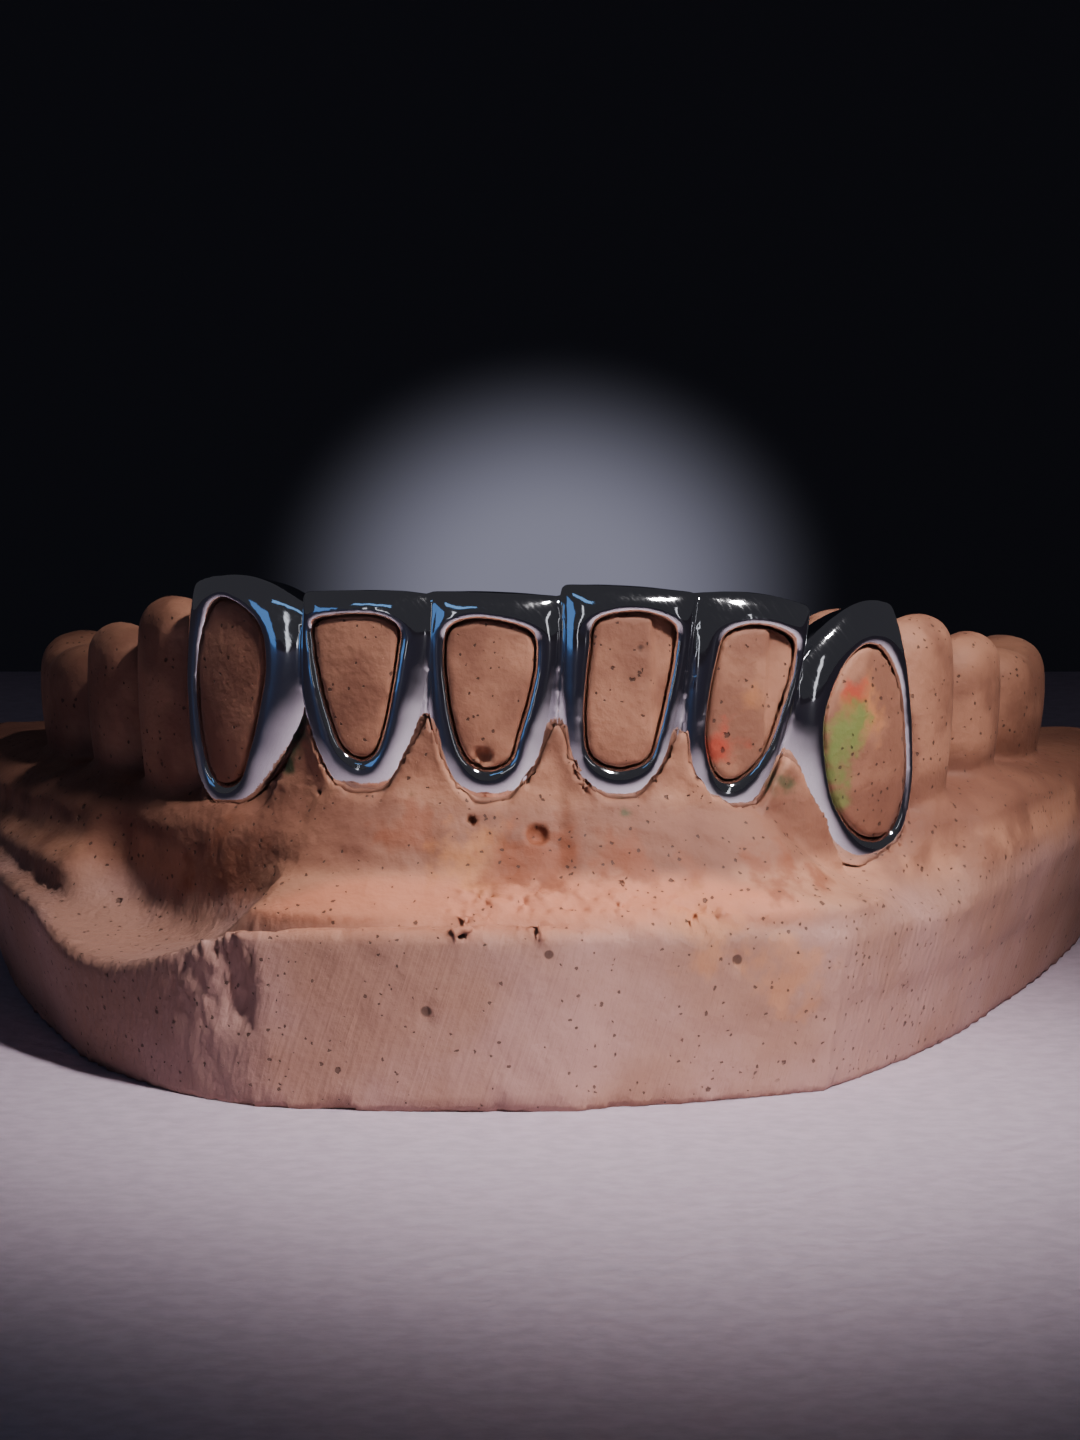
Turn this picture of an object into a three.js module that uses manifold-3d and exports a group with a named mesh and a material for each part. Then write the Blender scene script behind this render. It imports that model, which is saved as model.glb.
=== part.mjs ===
// A lower front grill on the plaster cast that it was made on: six open-face metal caps, soldered into one bar, over
// the canines and incisors of a trimmed cast of a lower jaw. Millimetres, +Z up, the mouth opens towards +Y, and the
// origin is the middle of the cast's flat underside.
import * as THREE from "three";
import { mergeVertices } from "three/addons/utils/BufferGeometryUtils.js";
import Module from "manifold-3d";

// The cast's base
const BASE_WIDTH = 56.5;
const BASE_DEPTH = 43;
const BASE_HEIGHT = 8.4;
const BASE_FLARE = 3; // how much wider the rim is than the foot, each side at the back
const FRONT_LEDGE = 5; // from the base's front to the front teeth's faces

// The line that the outer faces of the teeth follow
const CANINE_HALF_SPREAD = 14;
const CANINE_SET_BACK = 4.3;
const ARCH_POWER = 3.09;
const MIDLINE = 0.85; // where the two middle caps meet, to the right of the base's middle

// The gum ridge on the base
const RIDGE_THICKNESS = 13;
const GUM_LINE = 3.65; // the front teeth's necks above the base
const RIDGE_OVERRUN = 3; // how far the ridge is made past the base's back, where it is cut off flush

// The caps
const WALL = 0.55;
const EDGE_WALL = 0.6; // metal over the biting edges
const SEAT_GAP = 0.3; // between the metal and the plaster
const SOLDER_OVERLAP = 0.35; // how far neighbouring caps run into each other
const PARTITION = 0.5; // metal left between neighbouring hollows
const FACE_RADIUS_ACROSS = 11;
const FACE_RADIUS_UP = 26;
const NECK_POWER = 1.7;
const ROOT_POWER = 1.5; // how the narrowing of a crown towards its root sets in
const EDGE_DROP_POWER = 4; // how the fall of the biting edge dies away below it
const CUSP_ROUNDNESS = 0.45; // share of a cap's half width that its tip is rounded over

// The frame round each window: its face rolls back from a crest to the window, and its flank falls away outside it
const FRAME_SIDE = 0.72; // width at the window's sides
const FRAME_FOOT = 1.0; // width below the window
const FRAME_TOP = 0.45; // width above the window
const FRAME_CREST = 0.08; // flat left along the crest
const FRAME_SLOPE = 0.5; // how far the window's edge lies behind the crest, as a share of the frame's width
const FLANK_RUN = 1.15; // how far the flank spreads
const FLANK_SLOPE = 0.48; // how steeply it falls away
const FRAME_PROUD = 0.3; // how far the frame may stand off the crown
const FRAME_INSET = 0.04; // share of a cap's half width that the frame stays clear of its sides
const WINDOW_REACH = 1.9; // how far in the window's cut goes
const STUMP_SET_BACK = 0.75; // from the frame's crest to the plaster in the window

// The back teeth and what lies between the front ones
const BACK_TOOTH_ROOT = 2.2; // how far a back tooth goes down into the ridge
const PAPILLA_HEIGHT = 3.4; // how far the plaster climbs between two caps
const PAPILLA_SPREAD = 2.2; // half its width at the gum line
const PAPILLA_TIP = 0.3; // the same at its top
const PAPILLA_THICKNESS = 4.4;
const PAPILLA_SET_BACK = 1.4; // from the line of the faces

// The teeth's usual sizes
const SIZES = {
  incisor: { width: 6.3, height: 10.2, depth: 6.2 },
  canine: { width: 8.5, height: 12, depth: 7.8 },
  premolar: { width: 7, height: 10, depth: 7.8 },
  molar: { width: 11, height: 6.8, depth: 10.4 },
};

// Roundness of the sections, and how many sides they have
const SECTION_POWER = 2.6;
const LINGUAL_TAPER = 0.24;
const WIDEST_AT = 0.38; // share of a section's depth from its outer side
const CAP_SIDES = 22;
const HOLLOW_SIDES = 16;
const BACK_TOOTH_SIDES = 12;
const WINDOW_SIDES = 24;
const NECK_SIDES = 12;
const BASE_SIDES = 40;
const WALK_STEPS = 40;
const CUT_MARGIN = 2; // how far cutters run past what they cut
const NECK_MARGIN = 1; // how far the neck's line is drawn past a cap's sides
const WELD = 1e-5; // points closer than this are one

const degrees = THREE.MathUtils.degToRad;

// A cap's upright sections: shares of its height, width and depth
const CROWN_ROWS = [
  { height: 0.0, width: 0.72, labial: 0.15, lingual: 0.95 },
  { height: 0.12, width: 0.8, labial: 0.1, lingual: 1.0 },
  { height: 0.28, width: 0.9, labial: 0.06, lingual: 0.97 },
  { height: 0.5, width: 0.98, labial: 0.05, lingual: 0.86 },
  { height: 0.72, width: 1.0, labial: 0.06, lingual: 0.74 },
  { height: 0.9, width: 1.0, labial: 0.08, lingual: 0.65 },
  { height: 0.97, width: 0.98, labial: 0.12, lingual: 0.6 },
  { height: 1.0, width: 0.93, labial: 0.18, lingual: 0.54 },
  { height: 1.0, width: 0.55, labial: 0.29, lingual: 0.42 },
];

// A back tooth's sections; the last row is the hollow in its chewing face
const BACK_TOOTH_ROWS = [
  { height: 0.0, width: 0.84, depth: 0.82 },
  { height: 0.3, width: 0.96, depth: 0.97 },
  { height: 0.55, width: 1.0, depth: 1.0 },
  { height: 0.8, width: 0.95, depth: 0.9 },
  { height: 0.94, width: 0.84, depth: 0.72 },
  { height: 1.0, width: 0.62, depth: 0.5 },
  { height: 0.9, width: 0.2, depth: 0.16 },
];

// Shares of a window's height where its two sides are given
const WINDOW_LEVELS = [0.93, 0.74, 0.5, 0.26, 0.07];

// Where a frame's width changes, as shares of the cap's height from its middle: below and above the window
const FOOT_FROM = -0.22;
const FOOT_TO = -0.42;
const TOP_FROM = 0.28;
const TOP_TO = 0.4;

// The six caps from the middle out, then the plaster teeth behind them. width and height are shares of the kind's usual
// size, rise lifts the neck by a share of the gum line, and cusp is how much lower the corners are than the tip, as a
// share of the height. lean tips a tooth sideways, pitch tips its top forward, turn turns it on the arch, cuspAt is
// where the tip is across it, and slope how steeply its biting edge falls inwards. root widens or narrows its left and
// right side at the neck, neckAt is where the neck is lowest, and neck how far it climbs to the left and right as
// shares of the height. A window's levels and sides are shares of the cap's height and half width.
const RIGHT_TEETH = [
  {
    kind: "incisor", width: 1.0, height: 1.01, rise: 0.2, lean: 4, pitch: 3, turn: 1,
    cusp: 0.0146, cuspAt: 0, slope: 0.12, root: [0, 0], neckAt: 0.05, neck: [0.37, 0.33],
    window: {
      top: 0.887, bottom: 0.185, topAt: 0.12, bottomAt: 0.0,
      left: [-0.44, -0.51, -0.53, -0.51, -0.39], right: [0.64, 0.69, 0.63, 0.55, 0.42],
    },
  },
  {
    kind: "incisor", width: 0.944, height: 1.03, rise: 0.044, lean: 8, pitch: 3, turn: -3,
    cusp: 0.0476, cuspAt: 0, slope: 0.15, root: [0, 0], neckAt: 0.15, neck: [0.36, 0.3],
    window: {
      top: 0.854, bottom: 0.163, topAt: 0.11, bottomAt: -0.03,
      left: [-0.4, -0.51, -0.54, -0.49, -0.3], right: [0.7, 0.78, 0.67, 0.54, 0.27],
    },
  },
  {
    kind: "canine", width: 1.024, height: 1.067, rise: -0.863, lean: -10, pitch: 3, turn: -9,
    cusp: 0.203, cuspAt: 0.5, slope: 0.4, root: [-0.08, 0.22], neckAt: 0.3, neck: [0.5, 0.34],
    window: {
      top: 0.827, bottom: 0.084, topAt: 0.27, bottomAt: 0.37,
      left: [-0.07, -0.37, -0.43, -0.33, -0.01], right: [0.59, 0.79, 0.8, 0.77, 0.62],
    },
  },
  { kind: "premolar", width: 1.0, height: 0.96, rise: -0.329 },
  { kind: "premolar", width: 1.014, height: 0.76, rise: -0.219 },
  { kind: "molar", width: 1.0, height: 0.97, rise: -0.384 },
];
const LEFT_TEETH = [
  {
    kind: "incisor", width: 1.016, height: 1.005, rise: 0.137, lean: 2, pitch: 3, turn: -1,
    cusp: 0.0098, cuspAt: 0, slope: 0.12, root: [0.08, -0.05], neckAt: -0.15, neck: [0.52, 0.41],
    window: {
      top: 0.878, bottom: 0.206, topAt: -0.2, bottomAt: -0.06,
      left: [-0.63, -0.7, -0.64, -0.53, -0.35], right: [0.47, 0.58, 0.51, 0.38, 0.26],
    },
  },
  {
    kind: "incisor", width: 1.024, height: 0.985, rise: 0.219, lean: 2, pitch: 3, turn: 3,
    cusp: 0.03, cuspAt: 0.4, slope: 0.15, root: [0.1, -0.1], neckAt: -0.05, neck: [0.52, 0.45],
    window: {
      top: 0.879, bottom: 0.218, topAt: 0.04, bottomAt: -0.03,
      left: [-0.73, -0.75, -0.64, -0.48, -0.3], right: [0.45, 0.46, 0.4, 0.31, 0.18],
    },
  },
  {
    kind: "canine", width: 0.988, height: 0.958, rise: -0.096, lean: 8, pitch: 3, turn: 8,
    cusp: 0.157, cuspAt: -0.1, slope: 0.3, root: [0.08, -0.2], neckAt: -0.2, neck: [0.34, 0.6],
    window: {
      top: 0.875, bottom: 0.106, topAt: -0.31, bottomAt: -0.26,
      left: [-0.57, -0.68, -0.68, -0.59, -0.46], right: [0.11, 0.29, 0.27, 0.17, 0.01],
    },
  },
  { kind: "premolar", width: 1.0, height: 1.0, rise: -0.164 },
  { kind: "premolar", width: 1.014, height: 0.8, rise: -0.164 },
  { kind: "molar", width: 1.0, height: 1.0, rise: -0.329 },
];

// The base's plan and the height of its rim: shares of its depth from the front, half width and height
const BASE_PLAN = [
  { back: 0.0, left: 0.2, leftTop: 1.0, right: 0.02, rightTop: 1.0 },
  { back: 0.023, left: 0.43, leftTop: 0.99, right: 0.12, rightTop: 0.97 },
  { back: 0.045, left: 0.49, leftTop: 0.92, right: 0.24, rightTop: 0.92 },
  { back: 0.11, left: 0.6, leftTop: 0.76, right: 0.46, rightTop: 0.85 },
  { back: 0.25, left: 0.74, leftTop: 0.78, right: 0.585, rightTop: 0.85 },
  { back: 0.4, left: 0.815, leftTop: 0.84, right: 0.7, rightTop: 0.87 },
  { back: 0.58, left: 0.89, leftTop: 0.9, right: 0.8, rightTop: 0.9 },
  { back: 0.77, left: 0.95, leftTop: 0.95, right: 0.9, rightTop: 0.95 },
  { back: 1.0, left: 1.0, leftTop: 1.0, right: 1.0, rightTop: 1.0 },
];

// The ridge's section at the front and at its ends: out is a share of its thickness, from the teeth's faces outwards, and
// up is a share of the gum line's height above the base
const RIDGE_ROWS = [
  { frontOut: 0.2, frontUp: -0.9, backOut: 0.1, backUp: -0.9 },
  { frontOut: 0.2, frontUp: 0.06, backOut: 0.18, backUp: 0.3 },
  { frontOut: 0.08, frontUp: 0.2, backOut: 0.23, backUp: 0.8 },
  { frontOut: 0.01, frontUp: 0.5, backOut: 0.2, backUp: 1.15 },
  { frontOut: -0.08, frontUp: 0.85, backOut: 0.1, backUp: 1.35 },
  { frontOut: -0.2, frontUp: 1.4, backOut: -0.16, backUp: 1.4 },
  { frontOut: -0.36, frontUp: 1.4, backOut: -0.66, backUp: 1.4 },
  { frontOut: -0.5, frontUp: 0.9, backOut: -0.86, backUp: 1.0 },
  { frontOut: -0.6, frontUp: -0.9, backOut: -0.95, backUp: -0.9 },
];
const RIDGE_STATIONS = 28;

const FRONT = -BASE_DEPTH / 2;
const FACE_LINE = FRONT + FRONT_LEDGE;

const wasm = await Module();
wasm.setup();

// A closed geometry as a solid that can be joined and cut
function toSolid(geometry) {
  const bare = geometry.clone();
  bare.deleteAttribute("normal");
  bare.deleteAttribute("uv");
  const merged = mergeVertices(bare, WELD);
  return new wasm.Manifold(
    new wasm.Mesh({
      numProp: 3,
      vertProperties: new Float32Array(merged.attributes.position.array),
      triVerts: new Uint32Array(merged.index.array),
    }),
  );
}

function toGeometry(solid) {
  const mesh = solid.getMesh();
  const geometry = new THREE.BufferGeometry();
  geometry.setAttribute("position", new THREE.BufferAttribute(mesh.vertProperties, 3));
  geometry.setIndex(new THREE.BufferAttribute(mesh.triVerts, 1));
  geometry.computeVertexNormals();
  return geometry;
}

// A closed skin through rings of as many points each, with a fan over each end
function loft(rings) {
  const count = rings[0].length;
  const last = rings.length - 1;
  const middle = (ring) => ring.reduce((sum, p) => sum.add(p), new THREE.Vector3()).divideScalar(count);
  const points = [...rings.flat(), middle(rings[0]), middle(rings[last])];
  const [startTip, endTip] = [points.length - 2, points.length - 1];
  const faces = [];
  for (let i = 0; i < count; i++) {
    const next = (i + 1) % count;
    for (let row = 0; row < last; row++) {
      const [a, b] = [row * count + i, row * count + next];
      faces.push([a, b, b + count], [a, b + count, a + count]);
    }
    faces.push([next, i, startTip], [last * count + i, last * count + next, endTip]);
  }
  const volume = faces.reduce((sum, [a, b, c]) => {
    const normal = new THREE.Vector3().crossVectors(points[b], points[c]);
    return sum + points[a].dot(normal);
  }, 0);
  const outward = volume < 0 ? faces.map(([a, b, c]) => [a, c, b]) : faces;
  const geometry = new THREE.BufferGeometry().setFromPoints(points);
  geometry.setIndex(outward.flat());
  return geometry;
}

// The line of the teeth's outer faces: its depth and slope at a sideways distance, and a walk along it
const archDepth = (x) => CANINE_SET_BACK * (Math.abs(x) / CANINE_HALF_SPREAD) ** ARCH_POWER;
const archSlope = (x) => (x === 0 ? 0 : (ARCH_POWER * archDepth(x)) / x);
function walkArch(from, distance) {
  let x = from;
  for (let i = 0; i < WALK_STEPS; i++) x += distance / WALK_STEPS / Math.hypot(1, archSlope(x));
  return x;
}

// Where each tooth of one side stands, from the midline out, and its own sizes
function placeTeeth(teeth, side) {
  let contact = MIDLINE - (side * SOLDER_OVERLAP) / 2;
  return teeth.map((tooth) => {
    const usual = SIZES[tooth.kind];
    const width = usual.width * tooth.width;
    const height = usual.height * tooth.height;
    const seam = contact + (side * SOLDER_OVERLAP) / 2;
    const overlap = tooth.window ? SOLDER_OVERLAP : 0;
    const x = walkArch(contact, (side * width) / 2);
    contact = walkArch(x, side * (width / 2 - overlap));
    const place = new THREE.Matrix4().makeTranslation(
      x,
      FACE_LINE + archDepth(x),
      BASE_HEIGHT + GUM_LINE * (1 + tooth.rise) + height / 2,
    );
    const yaw = Math.atan(archSlope(x)) + degrees(tooth.turn ?? 0);
    place.multiply(new THREE.Matrix4().makeRotationZ(yaw));
    place.multiply(new THREE.Matrix4().makeRotationY(degrees(tooth.lean ?? 0)));
    place.multiply(new THREE.Matrix4().makeRotationX(degrees(tooth.pitch ?? 0)));
    return { ...tooth, width, height, depth: usual.depth, place, seam, side };
  });
}

const signedPower = (value, power) => Math.sign(value) * Math.abs(value) ** power;

// One level section: a rounded box with its own half width to either side, narrower at its inner side
function sectionRing(sides, [left, right], outer, inner, zAt) {
  return Array.from({ length: sides }, (_, i) => {
    const angle = (2 * Math.PI * i) / sides;
    const across = signedPower(Math.cos(angle), 2 / SECTION_POWER);
    const inwards = signedPower(Math.sin(angle), 2 / SECTION_POWER);
    const x = (across < 0 ? left : right) * across * (1 - LINGUAL_TAPER * Math.max(0, inwards));
    const reach = inwards < 0 ? WIDEST_AT : 1 - WIDEST_AT;
    const back = (WIDEST_AT + reach * inwards) * (inner - outer);
    return new THREE.Vector3(x, outer + back, zAt(x, back));
  });
}

// A cap's crown, grown by an amount on its sides and another on its top, and reaching below its neck
function crown(tooth, sides, grow, growTop, reach) {
  const half = tooth.width / 2;
  const cuspX = half * tooth.cuspAt;
  const cusp = tooth.height * tooth.cusp;
  const drop = (x, back) =>
    cusp * (Math.hypot((x - cuspX) / half, CUSP_ROUNDNESS) - CUSP_ROUNDNESS) + tooth.slope * back;
  const ringAt = (row, z) =>
    sectionRing(
      sides,
      tooth.root.map((root) => half * (row.width + root * (1 - row.height) ** ROOT_POWER) + grow),
      tooth.depth * row.labial - grow,
      tooth.depth * row.lingual + grow,
      (x, back) => z - drop(x, back) * row.height ** EDGE_DROP_POWER,
    );
  const rings = CROWN_ROWS.map((row) => ringAt(row, (tooth.height + growTop) * row.height - tooth.height / 2));
  const root = ringAt(CROWN_ROWS[0], -tooth.height / 2 - reach);
  return toSolid(loft(reach > 0 ? [root, ...rings] : rings));
}

// What lies below a cap's scalloped lower edge, which climbs from its lowest point to both sides
function belowNeck(tooth, lower) {
  const half = tooth.width / 2 + NECK_MARGIN;
  const bottom = -tooth.height / 2 - lower;
  const neck = (x) => {
    const across = (2 * x) / tooth.width - tooth.neckAt;
    const [reach, rise] = across < 0 ? [1 + tooth.neckAt, tooth.neck[0]] : [1 - tooth.neckAt, tooth.neck[1]];
    return bottom + tooth.height * rise * (Math.abs(across) / reach) ** NECK_POWER;
  };
  const outline = new THREE.Shape();
  outline.moveTo(-half, neck(-half));
  for (let i = 1; i <= NECK_SIDES; i++) {
    const x = half * ((2 * i) / NECK_SIDES - 1);
    outline.lineTo(x, neck(x));
  }
  outline.lineTo(half, bottom - CUT_MARGIN);
  outline.lineTo(-half, bottom - CUT_MARGIN);
  const depth = tooth.depth + 2 * CUT_MARGIN;
  const block = new THREE.ExtrudeGeometry(outline, { depth, bevelEnabled: false });
  block.rotateX(Math.PI / 2).translate(0, tooth.depth + CUT_MARGIN, 0);
  return toSolid(block);
}

// The width of a cap's frame at a height
function frameWidth(tooth, z) {
  const share = z / tooth.height;
  const foot = THREE.MathUtils.smoothstep(-share, -FOOT_FROM, -FOOT_TO);
  const top = THREE.MathUtils.smoothstep(share, TOP_FROM, TOP_TO);
  return FRAME_SIDE + (FRAME_FOOT - FRAME_SIDE) * foot + (FRAME_TOP - FRAME_SIDE) * top;
}

// A ring round a cap's window: a share of the frame's width and a further length outside the window's edge, and a slope
// (times the frame's width) and a further length behind the frame's crest, which follows the bow of the tooth
function windowRing(tooth, { share = 0, out = 0, slope = 0, back = 0, kept = false }) {
  const { top, bottom, topAt, bottomAt, left, right } = tooth.window;
  const half = tooth.width / 2;
  const level = (part) => tooth.height * (bottom + (top - bottom) * part - 0.5);
  const onSide = (side) => WINDOW_LEVELS.map((part, i) => new THREE.Vector2(side[i] * half, level(part)));
  const corners = [
    new THREE.Vector2(topAt * half, level(1)),
    ...onSide(right),
    new THREE.Vector2(bottomAt * half, level(0)),
    ...onSide(left).reverse(),
  ];
  const outline = new THREE.SplineCurve([...corners, corners[0]]);
  outline.closed = true;
  const limit = half * (1 - FRAME_INSET);
  return Array.from({ length: WINDOW_SIDES }, (_, i) => {
    const p = outline.getPoint(i / WINDOW_SIDES);
    const tangent = outline.getTangent(i / WINDOW_SIDES);
    const width = frameWidth(tooth, p.y);
    const grow = share * width + out;
    const x = p.x - tangent.y * grow;
    const z = p.y + tangent.x * grow;
    const inX = kept ? THREE.MathUtils.clamp(x, -limit, limit) : x;
    const inZ = kept ? Math.min(z, tooth.height / 2 - WALL) : z;
    const bow = inX ** 2 / (2 * FACE_RADIUS_ACROSS) + inZ ** 2 / (2 * FACE_RADIUS_UP);
    return new THREE.Vector3(inX, slope * width + back + bow, inZ);
  });
}

// The raised frame round a cap's window, grown by an amount
function frame(tooth, grow) {
  const flank = FLANK_RUN + grow;
  const raised = toSolid(
    loft([
      windowRing(tooth, { share: 0.5, back: -grow, kept: true }),
      windowRing(tooth, { share: 1, out: grow, back: -grow, kept: true }),
      windowRing(tooth, { share: 1, out: flank, back: FLANK_SLOPE * flank - grow, kept: true }),
      windowRing(tooth, { share: 1, out: flank, back: tooth.depth / 2, kept: true }),
    ]),
  );
  return raised.intersect(crown(tooth, CAP_SIDES, FRAME_PROUD + grow, 0, 0));
}

// The hole through a cap's face, which widens to the frame's crest
function windowHole(tooth) {
  const crest = { share: 1, out: -FRAME_CREST };
  return toSolid(
    loft([
      windowRing(tooth, { ...crest, back: -CUT_MARGIN }),
      windowRing(tooth, { ...crest }),
      windowRing(tooth, { slope: FRAME_SLOPE }),
      windowRing(tooth, { back: WINDOW_REACH }),
    ]),
  );
}

// The plaster that comes forward into a window
function windowStump(tooth) {
  return toSolid(
    loft([
      windowRing(tooth, { out: -SEAT_GAP, back: STUMP_SET_BACK }),
      windowRing(tooth, { out: -SEAT_GAP, back: WINDOW_REACH }),
    ]),
  );
}

// All that lies on one side of the wall between a cap and the one before it, outwards (1) or inwards (-1) on the arch,
// with the wall itself, grown by an amount
function pastWall(tooth, outwards, grow) {
  const reach = 2 * tooth.height;
  const block = new THREE.BoxGeometry(reach, reach, reach);
  block.translate(outwards * tooth.side * (reach / 2 - PARTITION / 2 - grow), 0, 0);
  block.rotateY(degrees(tooth.lean));
  block.rotateZ(Math.atan(archSlope(tooth.seam)));
  block.translate(tooth.seam, FACE_LINE + archDepth(tooth.seam), tooth.place.elements[14]);
  return toSolid(block);
}

// What a cap holds, in its place and kept between the walls to its neighbours
function betweenWalls(solid, tooth, teeth, grow) {
  const next = teeth[teeth.indexOf(tooth) + 1];
  const kept = inPlace(solid, tooth).subtract(pastWall(tooth, -1, grow));
  return next?.side === tooth.side ? kept.subtract(pastWall(next, 1, grow)) : kept;
}

const inPlace = (solid, tooth) => solid.transform(tooth.place.elements);
const joined = (solids) => wasm.Manifold.union(solids);

// The bar of caps: shells with windows, run into each other where they are soldered
function makeGrill(teeth) {
  const outsides = teeth.map((tooth) => {
    const body = crown(tooth, CAP_SIDES, 0, 0, 0).add(frame(tooth, 0));
    return inPlace(body.subtract(belowNeck(tooth, 0)), tooth);
  });
  const hollows = teeth.map((tooth) =>
    betweenWalls(crown(tooth, HOLLOW_SIDES, -WALL, -EDGE_WALL, CUT_MARGIN), tooth, teeth, 0),
  );
  const windows = teeth.map((tooth) => inPlace(windowHole(tooth), tooth));
  return joined(outsides).subtract(joined(hollows)).subtract(joined(windows));
}

// The base's plan: its foot, and its rim, which leans out a little and has a height of its own all round
function basePlan() {
  const half = BASE_WIDTH / 2;
  const corner = (side, top, back) => new THREE.Vector3(half * side, FRONT + BASE_DEPTH * back, BASE_HEIGHT * top);
  const plan = new THREE.CatmullRomCurve3([
    ...BASE_PLAN.map((row) => corner(-row.left, row.leftTop, row.back)).reverse(),
    ...BASE_PLAN.map((row) => corner(row.right, row.rightTop, row.back)),
  ]);
  const upright = plan.getPoints(BASE_SIDES).map((p) => p.setY(Math.max(p.y, FRONT)));
  const rim = upright.map((p) => {
    const flare = Math.sign(p.x) * BASE_FLARE * Math.sqrt((p.y - FRONT) / BASE_DEPTH);
    return new THREE.Vector3(p.x + flare, p.y, p.z);
  });
  return { foot: upright.map((p) => p.clone().setZ(0)), rim };
}

// The height of the gum line at a sideways distance, from the necks of the teeth either side
function gumLineAt(x, placed) {
  const necks = placed
    .map((tooth) => ({ x: tooth.place.elements[12], z: tooth.place.elements[14] - tooth.height / 2 }))
    .sort((a, b) => a.x - b.x);
  const next = necks.findIndex((neck) => neck.x > x);
  if (next < 1) return (next === 0 ? necks[0] : necks[necks.length - 1]).z;
  const [from, to] = [necks[next - 1], necks[next]];
  return THREE.MathUtils.lerp(from.z, to.z, THREE.MathUtils.smoothstep(x, from.x, to.x));
}

// The gum ridge: its section carried along the arch
function makeRidge(placed) {
  const endDepth = BASE_DEPTH - FRONT_LEDGE + RIDGE_OVERRUN;
  const end = CANINE_HALF_SPREAD * (endDepth / CANINE_SET_BACK) ** (1 / ARCH_POWER);
  const stations = Array.from({ length: RIDGE_STATIONS + 1 }, (_, i) => {
    const x = end * Math.sin((Math.PI / 2) * ((2 * i) / RIDGE_STATIONS - 1));
    const share = archDepth(x) / endDepth;
    const yaw = Math.atan(archSlope(x));
    const gum = gumLineAt(x, placed) - BASE_HEIGHT;
    return RIDGE_ROWS.map((row) => {
      const out = RIDGE_THICKNESS * THREE.MathUtils.lerp(row.frontOut, row.backOut, share);
      const up = gum * THREE.MathUtils.lerp(row.frontUp, row.backUp, share);
      return new THREE.Vector3(
        x + out * Math.sin(yaw),
        FACE_LINE + archDepth(x) - out * Math.cos(yaw),
        BASE_HEIGHT + up,
      );
    });
  });
  return toSolid(loft(stations));
}

// The plaster between a cap and the one before it, which climbs from the gums to where they meet
function papilla(tooth) {
  const outline = new THREE.Shape([
    new THREE.Vector2(-PAPILLA_SPREAD, -GUM_LINE),
    new THREE.Vector2(PAPILLA_SPREAD, -GUM_LINE),
    new THREE.Vector2(PAPILLA_SPREAD, 0),
    new THREE.Vector2(PAPILLA_TIP, PAPILLA_HEIGHT),
    new THREE.Vector2(-PAPILLA_TIP, PAPILLA_HEIGHT),
    new THREE.Vector2(-PAPILLA_SPREAD, 0),
  ]);
  const block = new THREE.ExtrudeGeometry(outline, { depth: PAPILLA_THICKNESS, bevelEnabled: false });
  block.rotateX(Math.PI / 2).translate(0, PAPILLA_SET_BACK + PAPILLA_THICKNESS, 0);
  block.rotateZ(Math.atan(archSlope(tooth.seam)));
  block.translate(tooth.seam, FACE_LINE + archDepth(tooth.seam), BASE_HEIGHT + GUM_LINE);
  return toSolid(block);
}

function backTooth(tooth) {
  const half = tooth.width / 2;
  const rings = BACK_TOOTH_ROWS.map((row) =>
    sectionRing(
      BACK_TOOTH_SIDES,
      [half * row.width, half * row.width],
      (tooth.depth / 2) * (1 - row.depth),
      (tooth.depth / 2) * (1 + row.depth),
      () => tooth.height * (row.height - 0.5),
    ),
  );
  const root = rings[0].map((p) => new THREE.Vector3(p.x, p.y, p.z - BACK_TOOTH_ROOT));
  return inPlace(toSolid(loft([root, ...rings])), tooth);
}

// The plaster: base, gums and back teeth, cleared round the caps, with a stump in each cap
function makeCast(capped, bare) {
  const clearance = capped.map((tooth) => {
    const body = crown(tooth, HOLLOW_SIDES, SEAT_GAP, SEAT_GAP, CUT_MARGIN).add(frame(tooth, SEAT_GAP));
    return inPlace(body.subtract(belowNeck(tooth, SEAT_GAP)), tooth);
  });
  const stumps = capped.map((tooth) => {
    const inner = crown(tooth, HOLLOW_SIDES, -WALL - SEAT_GAP, -EDGE_WALL - SEAT_GAP, CUT_MARGIN);
    return betweenWalls(inner.add(windowStump(tooth)), tooth, capped, SEAT_GAP);
  });
  const { foot, rim } = basePlan();
  const base = toSolid(loft([foot, rim]));
  const trimmed = toSolid(loft([-BASE_DEPTH, BASE_DEPTH].map((z) => rim.map((p) => p.clone().setZ(z)))));
  const ridge = makeRidge([...capped, ...bare]);
  const gums = joined([base, ridge, ...capped.map(papilla), ...bare.map(backTooth)]).intersect(trimmed);
  return gums.subtract(joined(clearance)).add(joined(stumps));
}

const teeth = [...placeTeeth(LEFT_TEETH, -1), ...placeTeeth(RIGHT_TEETH, 1)];
const capped = teeth.filter((tooth) => tooth.window);
const bare = teeth.filter((tooth) => !tooth.window);

const silver = new THREE.MeshStandardMaterial({ color: 0xc9ccd2, roughness: 0.08, metalness: 1 });
const plaster = new THREE.MeshStandardMaterial({ color: 0xc69c82, roughness: 0.85, metalness: 0 });

const group = new THREE.Group();
const grill = new THREE.Mesh(toGeometry(makeGrill(capped)), silver);
grill.name = "grillz";
const cast = new THREE.Mesh(toGeometry(makeCast(capped, bare)), plaster);
cast.name = "dental_cast";
group.add(grill, cast);

export default group;
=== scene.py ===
import math

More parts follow.
